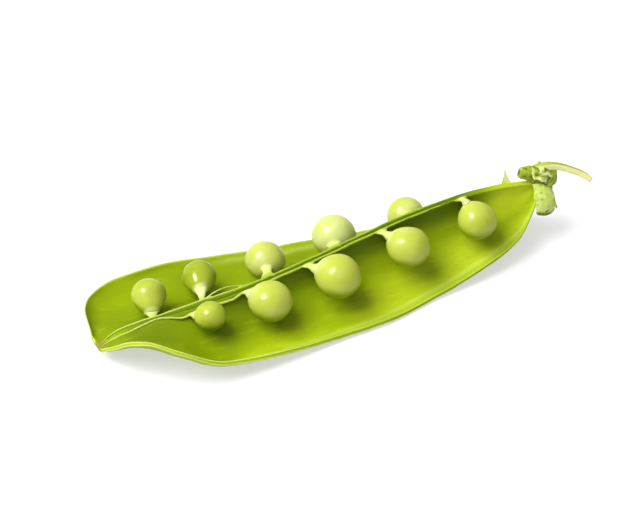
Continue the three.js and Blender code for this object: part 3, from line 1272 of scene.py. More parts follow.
    def _swollen(self, under: np.ndarray) -> np.ndarray:
        """The outer skin, raised a little over each pea but not where it rests.

        Args:
            under: the outer skin's points.

        Returns:
            The moved points.
        """
        height = np.zeros(under.shape[:2])
        for seeds in self.peas.values():
            for pea in seeds:
                apart = np.linalg.norm(under - pea.centre(self.form), axis=-1)
                height += self.swelling * swell(apart, pea.radius, 0.75 * pea.radius)
        height += self.outer_relief * Undulation(13, 3.5)(under)
        height *= ease(under[..., 0], 0.5, 5.0)
        moved = under - self._normals(under) * height[..., None]
        low = ease(under[..., 2], 0.1, 0.8)
        moved = under + (moved - under) * low[..., None]
        moved[..., 2] = np.maximum(moved[..., 2], 0.0)
        return moved

    def _belly(self, sheet: np.ndarray) -> np.ndarray:
        """How far the back valve bellies out past the tip.

        Args:
            sheet: the points of the lining or of the outer skin.

        Returns:
            How far each point is drawn towards the tip, mm.
        """
        x = sheet[..., 0]
        out = sheet[..., 1] - self.form.side(x)
        return self.cheek * ease(out, *self.cheek_out) * ease(x, *self.cheek_along)

    def _rim(self, inner: np.ndarray, before: np.ndarray, outer: np.ndarray) -> np.ndarray:
        """The cut rim between the lining's edge and the outer skin's edge.

        Args:
            inner: the lining's edge in each section.
            before: the lining's next points towards the ridge.
            outer: the outer skin's edge in each section.

        Returns:
            Points in each section, from inside to outside.
        """
        ahead = unit(inner - before)
        at = np.array(self.rim_at)[None, :, None]
        out = np.array(self.rim_out)[None, :, None]
        wall = np.linalg.norm(outer - inner, axis=-1)[:, None, None]
        return inner[:, None] * (1 - at) + outer[:, None] * at + ahead[:, None] * out * wall

    def _lap(self, shape: tuple[int, int], *parts: np.ndarray | float) -> np.ndarray:
        """Lays the values of the wall's strips end to end, all round each section.

        Args:
            shape: how many sections there are, and how many columns the lining has.
            parts: the values of the lining, the front rim, the outer skin and the back rim. Strips that
                aren't given are 0.

        Returns:
            The values by section and place round it.
        """
        sections, columns = shape
        counts = (columns, len(self.rim_at)) * 2
        filled = parts + (0.0,) * (len(counts) - len(parts))
        strips = [np.broadcast_to(part, (sections, count)) for part, count in zip(filled, counts)]
        return np.concatenate(strips, axis=1)

    def _marks(
        self, x: np.ndarray, over: np.ndarray, share: np.ndarray, crest: np.ndarray, dark: np.ndarray
    ) -> dict[str, np.ndarray]:
        """What the finish reads from the wall, apart from the dry tip.

        Args:
            x: the cross-sections.
            over: the lining's points.
            share: the share from ridge to rim of each of the lining's columns.
            crest: how much each column belongs to the ridge.
            dark: how deep it lies in the ridge's groove.

        Returns:
            The marks by name, each by section and place round it.
        """

        def lap(*parts: np.ndarray | float) -> np.ndarray:
            """Values all round each section."""
            return self._lap(over.shape[:2], *parts)

        def along(*spans: tuple[float, float]) -> np.ndarray:
            """How far a mark shows in each section, as a column."""
            return math.prod(ease(x, *span) for span in spans)[:, None]

        pale = np.array(self.rim_pale)
        green = self.rim_green * (1 - pale)
        inner_edge = 0.8 * ease(share, 0.985, 1.0)
        skin = 1 - 0.6 * ease(share[::-1], 0.9, 1.0)
        fade = self.rim_fade + (1 - self.rim_fade) * along(self.rim_pales)
        here = over[..., 0]
        band = ease(share, self.margin, self.margin + 0.02)[None, :] * ease(here, *self.band_begins)
        back = (np.arange(len(share)) < self.steps + 1).astype(float)
        # The dark line in the ridge's groove and the darkened ridge between the strands are painted shade.
        line = lap(dark) * along(*self.groove_shade_shows)
        ridge_shade = self.ridge_shade_strength * lap(crest) * along(*self.ridge_shade)
        # Painted shade in the fold under the ridge and in the hollows at the tip.
        shade = lap(sum(patch.over(here, share, back) for patch in self.painted_shades))
        edge = lap(inner_edge, pale, inner_edge, pale[::-1]) * fade
        return {
            "share": lap(share, 1.0, share[::-1], 1.0),
            "outer": lap(0.0, 0.0, skin) + 0.7 * lap(band),
            "edge": edge + 0.3 * lap(self._margin_line(here, share)),
            "crest": lap(crest, green, 0.0, green[::-1]) * along(self.crest_shows),
            # This mark carries all of that painted shade.
            "groove": np.maximum(np.maximum(line, ridge_shade), shade),
            # This mark carries the patches of painted light and shade.
            "painted_lighting": lap(sum(patch.over(here, share, back) for patch in self.painted_light_and_shade)),
        }

    def build(self, name: str = "pod_shell_wall") -> bpy.types.Object:
        """Draws the wall.

        Args:
            name: the piece's name.

        Returns:
            The piece.
        """
        x = self._spread()
        over, share, crest, dark = self._over(x)
        over = self._uneven(over, share)
        under = self._swollen(self._under(x))
        for sheet in (over, under):
            sheet[..., 0] -= self._belly(sheet)
        front_rim = self._rim(over[:, -1], over[:, -2], under[:, -1])
        back_rim = self._rim(over[:, 0], over[:, 1], under[:, 0])[:, ::-1]
        loops = np.concatenate([over, front_rim, under[:, ::-1], back_rim], axis=1)
        from_nub = np.linalg.norm(loops - np.array(self.nub), axis=-1)
        sections, size = loops.shape[:2]
        sketch = Sketch()
        sketch.add(loops, dry=ease(from_nub, 1.5, 0.6), **self._marks(x, over, share, crest, dark))
        sketch.skin(0, sections, size, flip=True)
        for first, last in ((0, False), ((sections - 1) * size, True)):
            self._close(sketch, first, len(share), len(self.rim_at), last)
        return sketch.make(name)

    @staticmethod
    def _close(sketch: Sketch, first: int, columns: int, rim: int, last: bool) -> None:
        """Closes one end of the wall with rungs from the lining to the outer skin.

        Args:
            sketch: the mesh.
            first: the end section's first point.
            columns: points across the lining.
            rim: points across one rim.
            last: true at the neck, false at the tip.
        """
        size = 2 * (columns + rim)
        under = first + columns + rim
        faces = []
        for i in range(columns - 1):
            faces.append((first + i, first + i + 1, under + columns - 2 - i, under + columns - 1 - i))
        faces.append(tuple(first + columns - 1 + i for i in range(rim + 2)))
        faces.append(tuple([first] + [first + size - 1 - i for i in range(rim + 1)])[::-1])
        sketch.faces.extend(face if not last else face[::-1] for face in faces)

    def dress(self, made: bpy.types.Object) -> None:
        """Finishes the wall and puts it in place of its solid."""
        fit(made, PodSkin().material(), "pod_shell")


# ---------------------------------------------------------------- peas, strands and stalks

# How the place where a stalk meets its pea is shifted, as a share of the pea's radius.
LEAN = {Valve.FRONT: (-0.15, -0.45, 0.3), Valve.BACK: (0.0, 0.0, -0.2)}


@dataclass
class Pea:
    """One pea on its stalk.

    Attributes:
        valve: the valve that it lies in.
        number: its place from the neck.
        x: the place of its centre along the pod, mm.
        out: how far its centre is out from the ridge's middle line, mm.
        z: the height of its centre, mm.
        radius: its radius, mm.
        lead: how much nearer the tip its stalk leaves the seam, mm.
        pallor: how milky it is, from about 0 to 1.
        taper: how much it draws out towards its stalk, 0 to 1.
        stalk: half the stalk's width where it leaves the strand, at its waist and at the pea, mm.
        lift: how much higher its stalk meets it than usual, as a share of its radius.
        scar_depth: how deep the scar at its stalk is, as a share of its radius.
        flatter: how much lower than wide it is, as a share of its radius.
        rings: rings of points from its stalk to its far side.
        sides: points in each ring.
    """

    valve: Valve
    number: int
    x: float
    out: float
    z: float
    radius: float
    lead: float
    pallor: float
    taper: float = 0.0
    stalk: tuple[float, float, float] = (1.5, 0.95, 1.6)
    lift: float = 0.0
    scar_depth: float = 0.01
    flatter: float = 0.03
    rings: int = 56
    sides: int = 64

    def centre(self, form: PodForm) -> np.ndarray:
        """The pea's centre in the drawing frame."""
        return form.at(np.array(self.x), self.valve, np.array(self.out), np.array(self.z))

    def axis(self, form: PodForm, strand: "Strand") -> np.ndarray:
        """The direction from the pea's centre to its stalk.

        Args:
            form: the pod's form.
            strand: the strand that its stalk grows from.

        Returns:
            The unit direction.
        """
        root = strand.point(form, self.x - self.lead)
        lean = np.array(LEAN[self.valve]) + np.array([0.0, 0.0, self.lift])
        return unit(root - self.centre(form) + self.radius * lean)

    def build(self, form: PodForm, strand: "Strand") -> bpy.types.Object:
        """Draws the pea as a slightly uneven seed with a flattened scar at its stalk.

        Args:
            form: the pod's form.
            strand: the strand that its stalk grows from.

        Returns:
            The piece.
        """
        axis = self.axis(form, strand)
        across = unit(np.cross(axis, np.array([0.3, 0.2, 1.0])))
        other = np.cross(axis, across)
        polar = np.linspace(0, math.pi, self.rings + 2)[1:-1]
        p, t = np.meshgrid(polar, angles(self.sides), indexing="ij")
        ray = (
            np.cos(p)[..., None] * axis
            + (np.sin(p) * np.cos(t))[..., None] * across
            + (np.sin(p) * np.sin(t))[..., None] * other
        )
        sketch = Sketch()
        drawn = self.taper**2
        scar = ease(p, 0.42 + 0.15 * drawn, 0.12 + 0.06 * drawn)
        stalk = 0.9 * scar + 0.12 * ease(p, 0.9, 0.3)
        # The pallor mark also carries painted shade on the pea's underside.
        sketch.add(self._reach(ray, p) + self.centre(form), pallor=self._tone(ray, p), stalk=stalk)
        sketch.skin(0, self.rings, self.sides)
        for end, flip in ((0, True), (self.rings - 1, False)):
            pole = axis if end == 0 else -axis
            angle = np.array([0.0 if end == 0 else math.pi])
            tip = self._reach(pole[None, :], angle)[0] + self.centre(form)
            tone = float(self._tone(pole[None, :], angle)[0])
            sketch.cap(end * self.sides, self.sides, tip, flip, pallor=tone, stalk=1.0 if end == 0 else 0.0)
        return sketch.make(f"pea_{self.valve.word}_{self.number}_seed")

    def _reach(self, ray: np.ndarray, polar: np.ndarray) -> np.ndarray:
        """The surface along each ray from the centre.

        Args:
            ray: unit directions.
            polar: each one's angle from the stalk.

        Returns:
            The points, from the centre.
        """
        seed = 40 + self.number * 2 + (self.valve is Valve.BACK)
        uneven = 0.016 * Undulation(seed, 1.7)(ray) + 0.006 * Undulation(seed + 50, 0.5)(ray)
        scar = -self.scar_depth * ease(polar, 0.34, 0.1)
        drawn = self.taper * (0.24 * swell(polar, 0.0, 0.6) - 0.06 * swell(polar, 1.1, 0.6))
        flat = 1 - self.flatter * np.abs(ray[..., 2])
        return ray * (self.radius * flat * (1 + uneven + scar + drawn))[..., None]

    def _tone(self, ray: np.ndarray, polar: np.ndarray) -> np.ndarray:
        """How milky the seed coat is: more so towards the stalk, and much less so below, which is painted
        shade on the pea's underside.
        """
        # The drop below is painted shade on the underside.
        turned = 0.22 * ease(polar, 1.5, 0.3) - 0.9 * ease(ray[..., 2], 0.15, -0.5)
        return self.pallor + turned + 0.1 * Undulation(70 + self.number, 1.2)(ray)

    def dress(self, made: bpy.types.Object, material: bpy.types.Material) -> None:
        """Finishes the pea and puts it in place of its solid."""
        fit(made, material, f"pea_{self.valve.word}_{self.number}")


@dataclass
class Strand:
    """One of the seam's two strands, with the stalks that grow from it.

    Attributes:
        valve: the valve whose peas it carries.
        route: places along it: x, the distance out from the ridge's middle line, and the height
            above the ridge's top, mm.
        radius: the strand's half-width along the pod, as (x, mm) pairs.
        pale: how pale it is along the pod, as (x, share) pairs.
        loose: places along a loose thread that has come away from it, if there is one, as for route.
        thread: half the thread's width, mm.
        waist: where along a stalk its waist is, 0 to 1.
        stalk_thick: half a stalk's thickness at the strand, at its waist and at the pea, mm.
        bow: how far a stalk runs on straight out of its pea, as a share of its length.
        bedded: how deep a stalk's end lies in its pea, mm.
        cell: the size of the fused body's faces, mm.
        sides: points round the strand and round the thread.
        steps: rings along the strand.
        thread_steps: rings along the thread.
        stalk_sides: points round a stalk.
        stalk_steps: rings along a stalk.
    """

    valve: Valve
    route: tuple[tuple[float, float, float], ...]
    radius: tuple[tuple[float, float], ...]
    pale: tuple[tuple[float, float], ...]
    loose: tuple[tuple[float, float, float], ...] = ()
    thread: float = 0.14
    waist: float = 0.45
    stalk_thick: tuple[float, float, float] = (0.3, 0.42, 1.0)
    bow: float = 0.4
    bedded: float = 0.25
    cell: float = 0.1
    sides: int = 12
    steps: int = 300
    thread_steps: int = 60
    stalk_sides: int = 20
    stalk_steps: int = 18

    def point(self, form: PodForm, x: float | np.ndarray) -> np.ndarray:
        """The strand's middle line.

        Args:
            form: the pod's form.
            x: places along the pod, mm.

        Returns:
            The points on the line abreast of x.
        """
        x = np.asarray(x, float)
        out = SmoothCurve([(r[0], r[1]) for r in self.route])(x)
        lift = SmoothCurve([(r[0], r[2]) for r in self.route])(x)
        return form.at(x, self.valve, out, form.ridge(x) + lift)

    def _line(self, sketch: Sketch, form: PodForm) -> None:
        """Adds the strand itself, as a slightly wandering tube that narrows to nothing at its ends.

        Args:
            sketch: the mesh.
            form: the pod's form.
        """
        first, last = self.route[0][0], self.route[-1][0]
        x = np.linspace(first, last, self.steps)
        centre = self.point(form, x)
        centre[:, 1] += 0.06 * Undulation(21 + self.valve.value, 5.0)(centre)
        ahead = unit(np.gradient(centre, axis=0))
        across = unit(np.cross(UP, ahead))
        up = np.cross(ahead, across)
        ends = np.sqrt(np.clip(np.minimum(x - first, last - x) / 3.0, 0.02, 1))
        radius = SmoothCurve(list(self.radius))(x) * ends * (1 + 0.12 * Undulation(31, 2.2)(centre))
        turn = angles(self.sides)
        wide, tall = np.cos(turn) * radius[:, None], np.sin(turn) * radius[:, None]
        sketch.tube(rings_round((centre, across, up), wide, tall))

    def _thread(self, sketch: Sketch, form: PodForm) -> None:
        """Adds the loose thread.

        Args:
            sketch: the mesh.
            form: the pod's form.
        """
        x, out, lift = (np.array(column) for column in zip(*self.loose))
        line = Spine([tuple(place) for place in form.at(x, self.valve, out, form.ridge(x) + lift)])
        frames = line.frames(np.linspace(0, 1, self.thread_steps), UP)
        turn = angles(self.sides) * np.ones((self.thread_steps, 1))
        sketch.tube(rings_round(frames, self.thread * np.cos(turn), self.thread * np.sin(turn)))

    def _stalk(self, sketch: Sketch, form: PodForm, pea: Pea) -> None:
        """Adds one pea's stalk, which narrows from the strand to its waist and flares on the pea.

        Args:
            sketch: the mesh.
            form: the pod's form.
            pea: the pea.
        """
        root = self.point(form, pea.x - pea.lead)
        centre = pea.centre(form)
        axis = pea.axis(form, self)
        reach = pea.radius * (1 + 0.2 * pea.taper)
        end = centre + axis * (math.sqrt(reach**2 - pea.stalk[2] ** 2) - self.bedded)
        bow = end + axis * self.bow * np.linalg.norm(root - end)
        t = np.linspace(0, 1, self.stalk_steps)[:, None]
        line = root * (1 - t) ** 2 + 2 * bow * t * (1 - t) + end * t**2
        ahead = unit(np.gradient(line, axis=0))
        along = np.array([1.0, 0.0, 0.12])
        across = unit(along - ahead * (ahead @ along)[:, None])
        up = np.cross(ahead, across)
        t = t[:, 0]
        places = (0, self.waist, 1)
        wide = SmoothCurve(list(zip(places, pea.stalk)))(t)
        thick = SmoothCurve(list(zip(places, self.stalk_thick)))(t)
        turn = angles(self.stalk_sides)
        wide, tall = np.cos(turn) * wide[:, None], np.sin(turn) * thick[:, None]
        sketch.tube(rings_round((line, across, up), wide, tall))

    def build(self, form: PodForm, peas: list[Pea]) -> bpy.types.Object:
        """Draws the strand and its stalks as one body.

        Args:
            form: the pod's form.
            peas: the peas that it carries.

        Returns:
            The piece.
        """
        sketch = Sketch()
        self._line(sketch, form)
        if self.loose:
            self._thread(sketch, form)
        for pea in peas:
            self._stalk(sketch, form, pea)
        made = sketch.make(f"seam_strand_{self.valve.word}")
        fuse(made, self.cell, 5)
        rows = read_points(made.data)
        line = self.point(form, rows[:, 0].clip(self.route[0][0], self.route[-1][0]))
        apart = np.linalg.norm(rows - line, axis=1)
        pale = SmoothCurve(list(self.pale))(rows[:, 0])
        stalk = np.zeros(len(rows))
        for pea in peas:
            middle = (self.point(form, pea.x - pea.lead) + pea.centre(form)) / 2
            away = np.linalg.norm(rows - middle, axis=1)
            stalk = np.maximum(stalk, ease(away, pea.radius + 1.2, pea.radius))
        write_mark(made.data, "pale", np.clip(pale + stalk * ease(apart, 0.35, 1.3) * 0.66, 0, 1))
        return made

    def dress(self, made: bpy.types.Object, material: bpy.types.Material) -> None:
        """Finishes the strand and puts it in place of its solid."""
        fit(made, material, f"seam_cord_{self.valve.word}")


# ---------------------------------------------------------------- calyx and stem


@dataclass(frozen=True)
class Sepal:
    """One leaf of the calyx.

    Attributes:
        line: its middle line from the receptacle to its point, mm.
        width: its greatest width, mm.
        faces: the direction that its outer face looks in.
        light: how thin and pale it is, from about 0; above 1 it is painted with the glow of light coming
            through it.
        dark_tip: how dark its tip is, from 0 to about 1.
        drawn: how far its end is drawn out, from 0.1 for a square end to 1.5 for a spike.
        widest: where along it is widest, 0 to 1.
    """

    line: tuple[tuple[float, float, float], ...]
    width: float
    faces: tuple[float, float, float]
    light: float
    dark_tip: float
    drawn: float
    widest: float


@dataclass
class Calyx:
    """The receptacle with its five sepals.

    Attributes:
        knob: the receptacle's centres up its axis, with a radius at each, mm.
        sepals: the five leaves.
        half_thickness: half a leaf's thickness in its middle, mm.
        ribs: how many low ribs run up the receptacle.
        rib_height: how high they stand, as a share of its radius.
        cup: how far a leaf's sides curl in, mm.
        wave: how far its edges wave, mm.
        side_vein: where its side veins run, as a share of half its width.
        steps: rings along a leaf and up the receptacle.
        sides: points round a leaf.
        knob_sides: points round the receptacle.
    """

    knob: tuple[tuple[tuple[float, float, float], float], ...] = (
        ((84.2, 0.35, 8.7), 0.85),
        ((84.8, 0.4, 9.0), 1.15),
        ((85.4, 0.4, 10.0), 1.5),
        ((85.4, 0.4, 11.2), 2.05),
        ((85.5, 0.45, 12.1), 2.0),
        ((85.9, 0.5, 12.75), 1.3),
        ((86.1, 0.5, 12.95), 0.5),
    )
    sepals: tuple[Sepal, ...] = (
        # The upright spike: its light above 1 paints the glow of light coming through it.
        Sepal(
            (
                (84.8, 1.3, 10.0),
                (83.6, 2.8, 8.2),
                (82.4, 3.8, 7.0),
                (81.3, 4.35, 6.7),
                (80.6, 4.3, 8.2),
                (79.95, 4.2, 11.5),
            ),
            3.4, (0, 1, 0), 1.2, 0.1, 1.5, 0.52,
        ),
        Sepal(
            ((84.9, 0.5, 11.8), (83.8, 0.6, 12.0), (82.5, 0.7, 12.3), (81.6, 0.9, 12.5), (80.9, 1.1, 12.8)),
            2.6, (-0.1, -0.8, 0.6), 0.0, 0.75, 0.42, 0.44,
        ),
        Sepal(
            (
                (86.2, 0.2, 12.3),
                (87.4, -0.2, 11.9),
                (87.2, -0.8, 11.1),
                (86.3, -1.5, 10.4),
                (85.1, -2.0, 10.0),
            ),
            2.1, (0.6, -0.7, 0.4), -0.1, 0.6, 0.5, 0.45,
        ),
        Sepal(
            ((85.0, -0.8, 10.2), (84.3, -2.4, 10.1), (83.8, -4.1, 9.4), (83.6, -5.0, 8.1), (83.6, -5.0, 6.5)),
            3.6, (0.0, -0.3, 1.0), 0.45, 0.85, 0.1, 0.62,
        ),
        Sepal(
            ((85.6, 0.2, 10.6), (86.1, -1.2, 9.6), (86.3, -2.2, 8.4), (86.5, -2.6, 6.9), (87.1, -2.6, 5.3)),
            2.0, (1, -0.4, 0), 0.4, 1.1, 0.6, 0.6,
        ),
    )
    half_thickness: float = 0.2
    ribs: int = 5
    rib_height: float = 0.05
    cup: float = 0.42
    wave: float = 0.12
    side_vein: float = 0.42
    steps: int = 44
    sides: int = 28
    knob_sides: int = 48

    def _receptacle(self, sketch: Sketch) -> None:
        """Adds the knob, with low ribs that run on into the sepals.

        Args:
            sketch: the mesh.
        """
        spine = Spine([place for place, _ in self.knob])
        radius = SmoothCurve([(i / (len(self.knob) - 1), r) for i, (_, r) in enumerate(self.knob)])
        share = np.linspace(0, 1, self.steps)
        frames = spine.frames(share, BACKWARD)
        centre = frames[0]
        turn = angles(self.knob_sides)
        rib = np.cos(self.ribs * turn)
        raised = self.rib_height * rib[None, :] * ease(share, 0.1, 0.5)[:, None]
        reach = radius(share)[:, None] * (1 + raised)
        rings = rings_round(frames, np.cos(turn) * reach, np.sin(turn) * reach)
        rough = 0.22 * Undulation(81, 1.5)(rings) + 0.09 * Undulation(83, 0.7)(rings)
        rings = rings + rough[..., None] * unit(rings - centre[:, None])
        dark = 0.3 * swell(share, 0.35, 0.15)[:, None] + 0.75 * ease(Undulation(82, 1.3)(rings), 0.0, 0.5)
        light = np.minimum(0.8 + 1.4 * Undulation(84, 1.2)(rings), 1.3)
        tip = {"light": 0.6, "vein": 0.0, "dark": 0.0}
        vein = 0.5 * ease(rib, 0.5, 1.0)
        sketch.tube(rings, (centre[0], centre[-1]), (tip, tip), light=light, vein=vein, dark=dark)

    def _leaf(self, sketch: Sketch, sepal: Sepal, seed: int) -> None:
        """Adds one sepal: a thin cupped blade with a raised midrib, a waved edge and a drawn-out point.

        Args:
            sketch: the mesh.
            sepal: the leaf.
            seed: settles its waves.
        """
        share = np.linspace(0, 1, self.steps)
        frames = Spine(list(sepal.line)).frames(share, np.array(sepal.faces, float))
        swung = share ** (math.log(0.36) / math.log(sepal.widest))
        outline = np.sin(math.pi * (0.22 + 0.78 * swung)).clip(0) ** sepal.drawn
        ragged = 1 + 0.1 * Undulation(seed + 60, 1.3)(frames[0])
        half = np.maximum(sepal.width / 2 * outline * ragged, 0.06)
        turn = angles(self.sides)
        side = np.cos(turn)
        face = np.sign(np.sin(turn) + 1e-9)
        thin = (1 - 0.55 * side**2)[None, :] * (0.35 + 0.65 * outline)[:, None]
        thick = self.half_thickness * thin * np.sin(turn)[None, :]
        ridges = 0.09 * swell(side, 0.0, 0.12) + 0.04 * self._beside(side, 0.08)
        wave = self.wave * np.sin(9 * share + seed)[:, None] * side[None, :] ** 3
        cup = -self.cup * (side**2)[None, :] * outline[:, None]
        lift = thick + cup + wave + (ridges * face)[None, :] * outline[:, None]
        rings = rings_round(frames, side[None, :] * half[:, None], lift)
        pallor = min(max(sepal.light, 0.0), 1.0)
        vein = np.clip(swell(side, 0.0, 0.14) + 0.5 * self._beside(side, 0.1), 0, 1) * (0.3 + 0.7 * pallor)
        spots = ease(Undulation(seed + 90, 1.2)(rings), 0.15, 0.7)
        dark = sepal.dark_tip * ease(share, 0.72, 1.0)[:, None] + (0.1 + 0.6 * (1 - pallor)) * spots
        # Lighter towards the point: partly the thinner point's own paleness and partly painted light where
        # the leaf turns away from the lamps.
        light = sepal.light + 0.55 * ease(share, 0.6, 0.95)[:, None]
        root = {"light": sepal.light, "vein": 0.5, "dark": 0.0}
        point = {"light": sepal.light, "vein": 0.0, "dark": sepal.dark_tip}
        sketch.tube(rings, None, (root, point), light=light, vein=vein, dark=dark)

    def _beside(self, side: np.ndarray, reach: float) -> np.ndarray:
        """Bumps of height 1 on both side veins."""
        return swell(side, self.side_vein, reach) + swell(side, -self.side_vein, reach)

    def build(self, name: str = "calyx_leaves") -> bpy.types.Object:
        """Draws the calyx.

        Args:
            name: the piece's name.

        Returns:
            The piece.
        """
        sketch = Sketch()
        self._receptacle(sketch)
        for number, sepal in enumerate(self.sepals):
            self._leaf(sketch, sepal, number)
        return sketch.make(name)

    def dress(self, made: bpy.types.Object) -> None:
        """Finishes the calyx and puts it in place of its solid."""
        fit(made, LeafSkin().material(), "calyx")


@dataclass
class Stem:
    """The short curved stem, cut off at its far end.

    Attributes:
        line: its middle line from the receptacle to the cut, mm.
        radius: its radius at the receptacle, in the middle and at the cut, mm.
        ribs: how many low ribs run along it.
        rib_height: how high they stand, as a share of its radius.
        steps: rings along it.
        sides: points in each ring.
    """

    line: tuple[tuple[float, float, float], ...] = (
        (84.7, 0.5, 12.5),
        (85.8, 0.4, 12.8),
        (87.0, 0.3, 12.65),
        (89.45, 0.0, 11.65),
        (91.7, -0.55, 10.45),
        (93.4, -1.2, 9.3),
        (94.2, -1.7, 8.55),
    )
    radius: tuple[float, float, float] = (0.9, 0.68, 0.55)
    ribs: int = 5
    rib_height: float = 0.06
    steps: int = 90
    sides: int = 40

    def build(self, name: str = "stem_stalk") -> bpy.types.Object:
        """Draws the stem.

        Args:
            name: the piece's name.

        Returns:
            The piece.
        """
        share = np.linspace(0, 1, self.steps)
        frames = Spine(list(self.line)).frames(share, BACKWARD)
        centre = frames[0]
        radius = SmoothCurve(list(zip((0, 0.5, 1), self.radius)))(share)
        turn = angles(self.sides)
        rib = np.cos(self.ribs * turn)
        reach = radius[:, None] * (1 + self.rib_height * rib[None, :])
        rings = rings_round(frames, np.cos(turn) * reach, np.sin(turn) * reach)
        rings = rings + 0.03 * Undulation(95, 2.0)(rings)[..., None] * unit(rings - centre[:, None])
        under = ease(-unit(rings - centre[:, None])[..., 2], -0.98, -0.5)
        under = np.maximum(under, 0.7 * ease(share, 0.7, 0.95)[:, None])
        lip = 0.55 * rings[-1:] + 0.45 * centre[-1]
        bare = {"rib": 0.0, "under": 0.3}
        middle = centre[-1] - 0.12 * unit(centre[-1] - centre[-2])
        marks = {
            "rib": np.broadcast_to(ease(rib, 0.3, 1.0), under.shape),
            "under": under,
            "cut": np.broadcast_to(0.5 * ease(share, 0.94, 1.0)[:, None], under.shape),
        }
        on_lip = {**bare, "cut": 1.0}
        ends = {key: np.vstack([rows, np.full((1, self.sides), on_lip[key])]) for key, rows in marks.items()}
        sketch = Sketch()
        tip_marks = ({**bare, "cut": 0.0}, on_lip)
        sketch.tube(np.concatenate([rings, lip]), (centre[0], middle), tip_marks, **ends)
        return sketch.make(name)

    def dress(self, made: bpy.types.Object) -> None:
        """Finishes the stem and puts it in place of its solid."""
        fit(made, StemSkin().material(), "stem")


# ---------------------------------------------------------------- the studio


@dataclass
class Lamp:
    """A soft square lamp.

    Attributes:
        name: its name.
        heading: the direction that it stands in from the pod.
        distance: how far away it stands, m.
        size: the length of its side, m.
        power: its power, W.
        glossy: whether it is mirrored in glossy surfaces.
        diffuse: whether it lights what isn't glossy.
    """

    name: str
    heading: tuple[float, float, float]
    distance: float
    size: float
    power: float
    glossy: bool = True
    diffuse: bool = True

    def build(self, target: Vector) -> None:
        """Hangs the lamp.

        Args:
            target: the point that it is aimed at.
        """
        light = bpy.data.lights.new(self.name, "AREA")
        light.shape = "SQUARE"
        light.size = self.size
        light.energy = self.power
        made = bpy.data.objects.new(self.name, light)
        made.visible_glossy = self.glossy
        made.visible_diffuse = self.diffuse
        heading = Vector(self.heading).normalized()
        made.location = target + heading * self.distance
        made.rotation_euler = heading.to_track_quat("Z", "Y").to_euler()
        bpy.context.scene.collection.objects.link(made)


@dataclass
class Studio:
    """The floor, the lamps, the pale surroundings and the camera.

    Attributes:
        azimuth: where the camera stands, degrees round from the front.
        elevation: how high it stands, degrees.
        distance: how far it is from the pod, m.
        lens: its focal length, mm.
        aim: the point that it is aimed at, mm in the solids' frame.
        surroundings: how bright the pale surroundings are on their dim and bright sides.
        bright_side: the direction of their bright side.
        turning: between which cosines to that direction they go from dim to bright.
        lamps: the lamps.
        floor_half: half the floor's side, m.
    """

    azimuth: float = -25.0
    elevation: float = 40.0
    distance: float = 0.62
    lens: float = 201.0
    aim: tuple[float, float, float] = (-5.4, 0.26, 5.8)
    surroundings: tuple[float, float] = (0.08, 0.85)
    bright_side: tuple[float, float, float] = (0.05, 0.2, 1.0)
    turning: tuple[float, float] = (-0.1, 0.9)
    lamps: tuple[Lamp, ...] = (
        Lamp("key", (-0.54, 0.06, 0.84), 0.9, 0.7, 16.2, glossy=False),
        Lamp("glint", (-0.60, 0.08, 0.80), 0.9, 0.34, 16.0, diffuse=False),
    )
    floor_half: float = 3.0

    def _target(self) -> Vector:
        """The point that the camera and lamps are aimed at, m."""
        return Vector(self.aim) * MM

    def _floor(self) -> None:
        """Lays the floor."""
        h = self.floor_half
        mesh = bpy.data.meshes.new("floor")
        mesh.from_pydata([(-h, -h, 0), (h, -h, 0), (h, h, 0), (-h, h, 0)], [], [(0, 1, 2, 3)])
        mesh.materials.append(FloorFinish().material())
        floor = bpy.data.objects.new("floor", mesh)
        bpy.context.scene.collection.objects.link(floor)

    def _surround(self) -> None:
        """Sets the even pale light from all round."""
        world = bpy.data.worlds.new("studio")
        nodes = Nodes(world)
        heading = nodes.tap(nodes.node("ShaderNodeTexCoord"), "Generated")
        bright = Vector(self.bright_side).normalized()
        towards = nodes.node("ShaderNodeVectorMath", {"operation": "DOT_PRODUCT"}, {0: heading, 1: bright})
        ends = dict(zip(("From Min", "From Max", "To Min", "To Max"), (*self.turning, *self.surroundings)))
        strength = nodes.node("ShaderNodeMapRange", None, {"Value": nodes.tap(towards, "Value"), **ends})
        light = {"Color": (1.0, 1.0, 1.0), "Strength": nodes.tap(strength, "Result")}
        background = nodes.node("ShaderNodeBackground", None, light)
        nodes.node("ShaderNodeOutputWorld", None, {"Surface": nodes.tap(background)})
        bpy.context.scene.world = world

    def _camera(self) -> None:
        """Sets up the camera."""
        turn, lift = math.radians(self.azimuth), math.radians(self.elevation)
        back = Vector((math.sin(turn) * math.cos(lift), -math.cos(turn) * math.cos(lift), math.sin(lift)))
        data = bpy.data.cameras.new("camera")
        data.lens = self.lens
        data.clip_start = 0.01
        camera = bpy.data.objects.new("camera", data)
        camera.location = self._target() + back * self.distance
        camera.rotation_euler = back.to_track_quat("Z", "Y").to_euler()
        bpy.context.scene.collection.objects.link(camera)
        bpy.context.scene.camera = camera

    def build(self) -> None:
        """Sets up everything round the pod."""
        self._floor()
        self._surround()
        for lamp in self.lamps:
            lamp.build(self._target())
        self._camera()
        bpy.context.scene.view_settings.view_transform = "Standard"


# ---------------------------------------------------------------- the whole pod


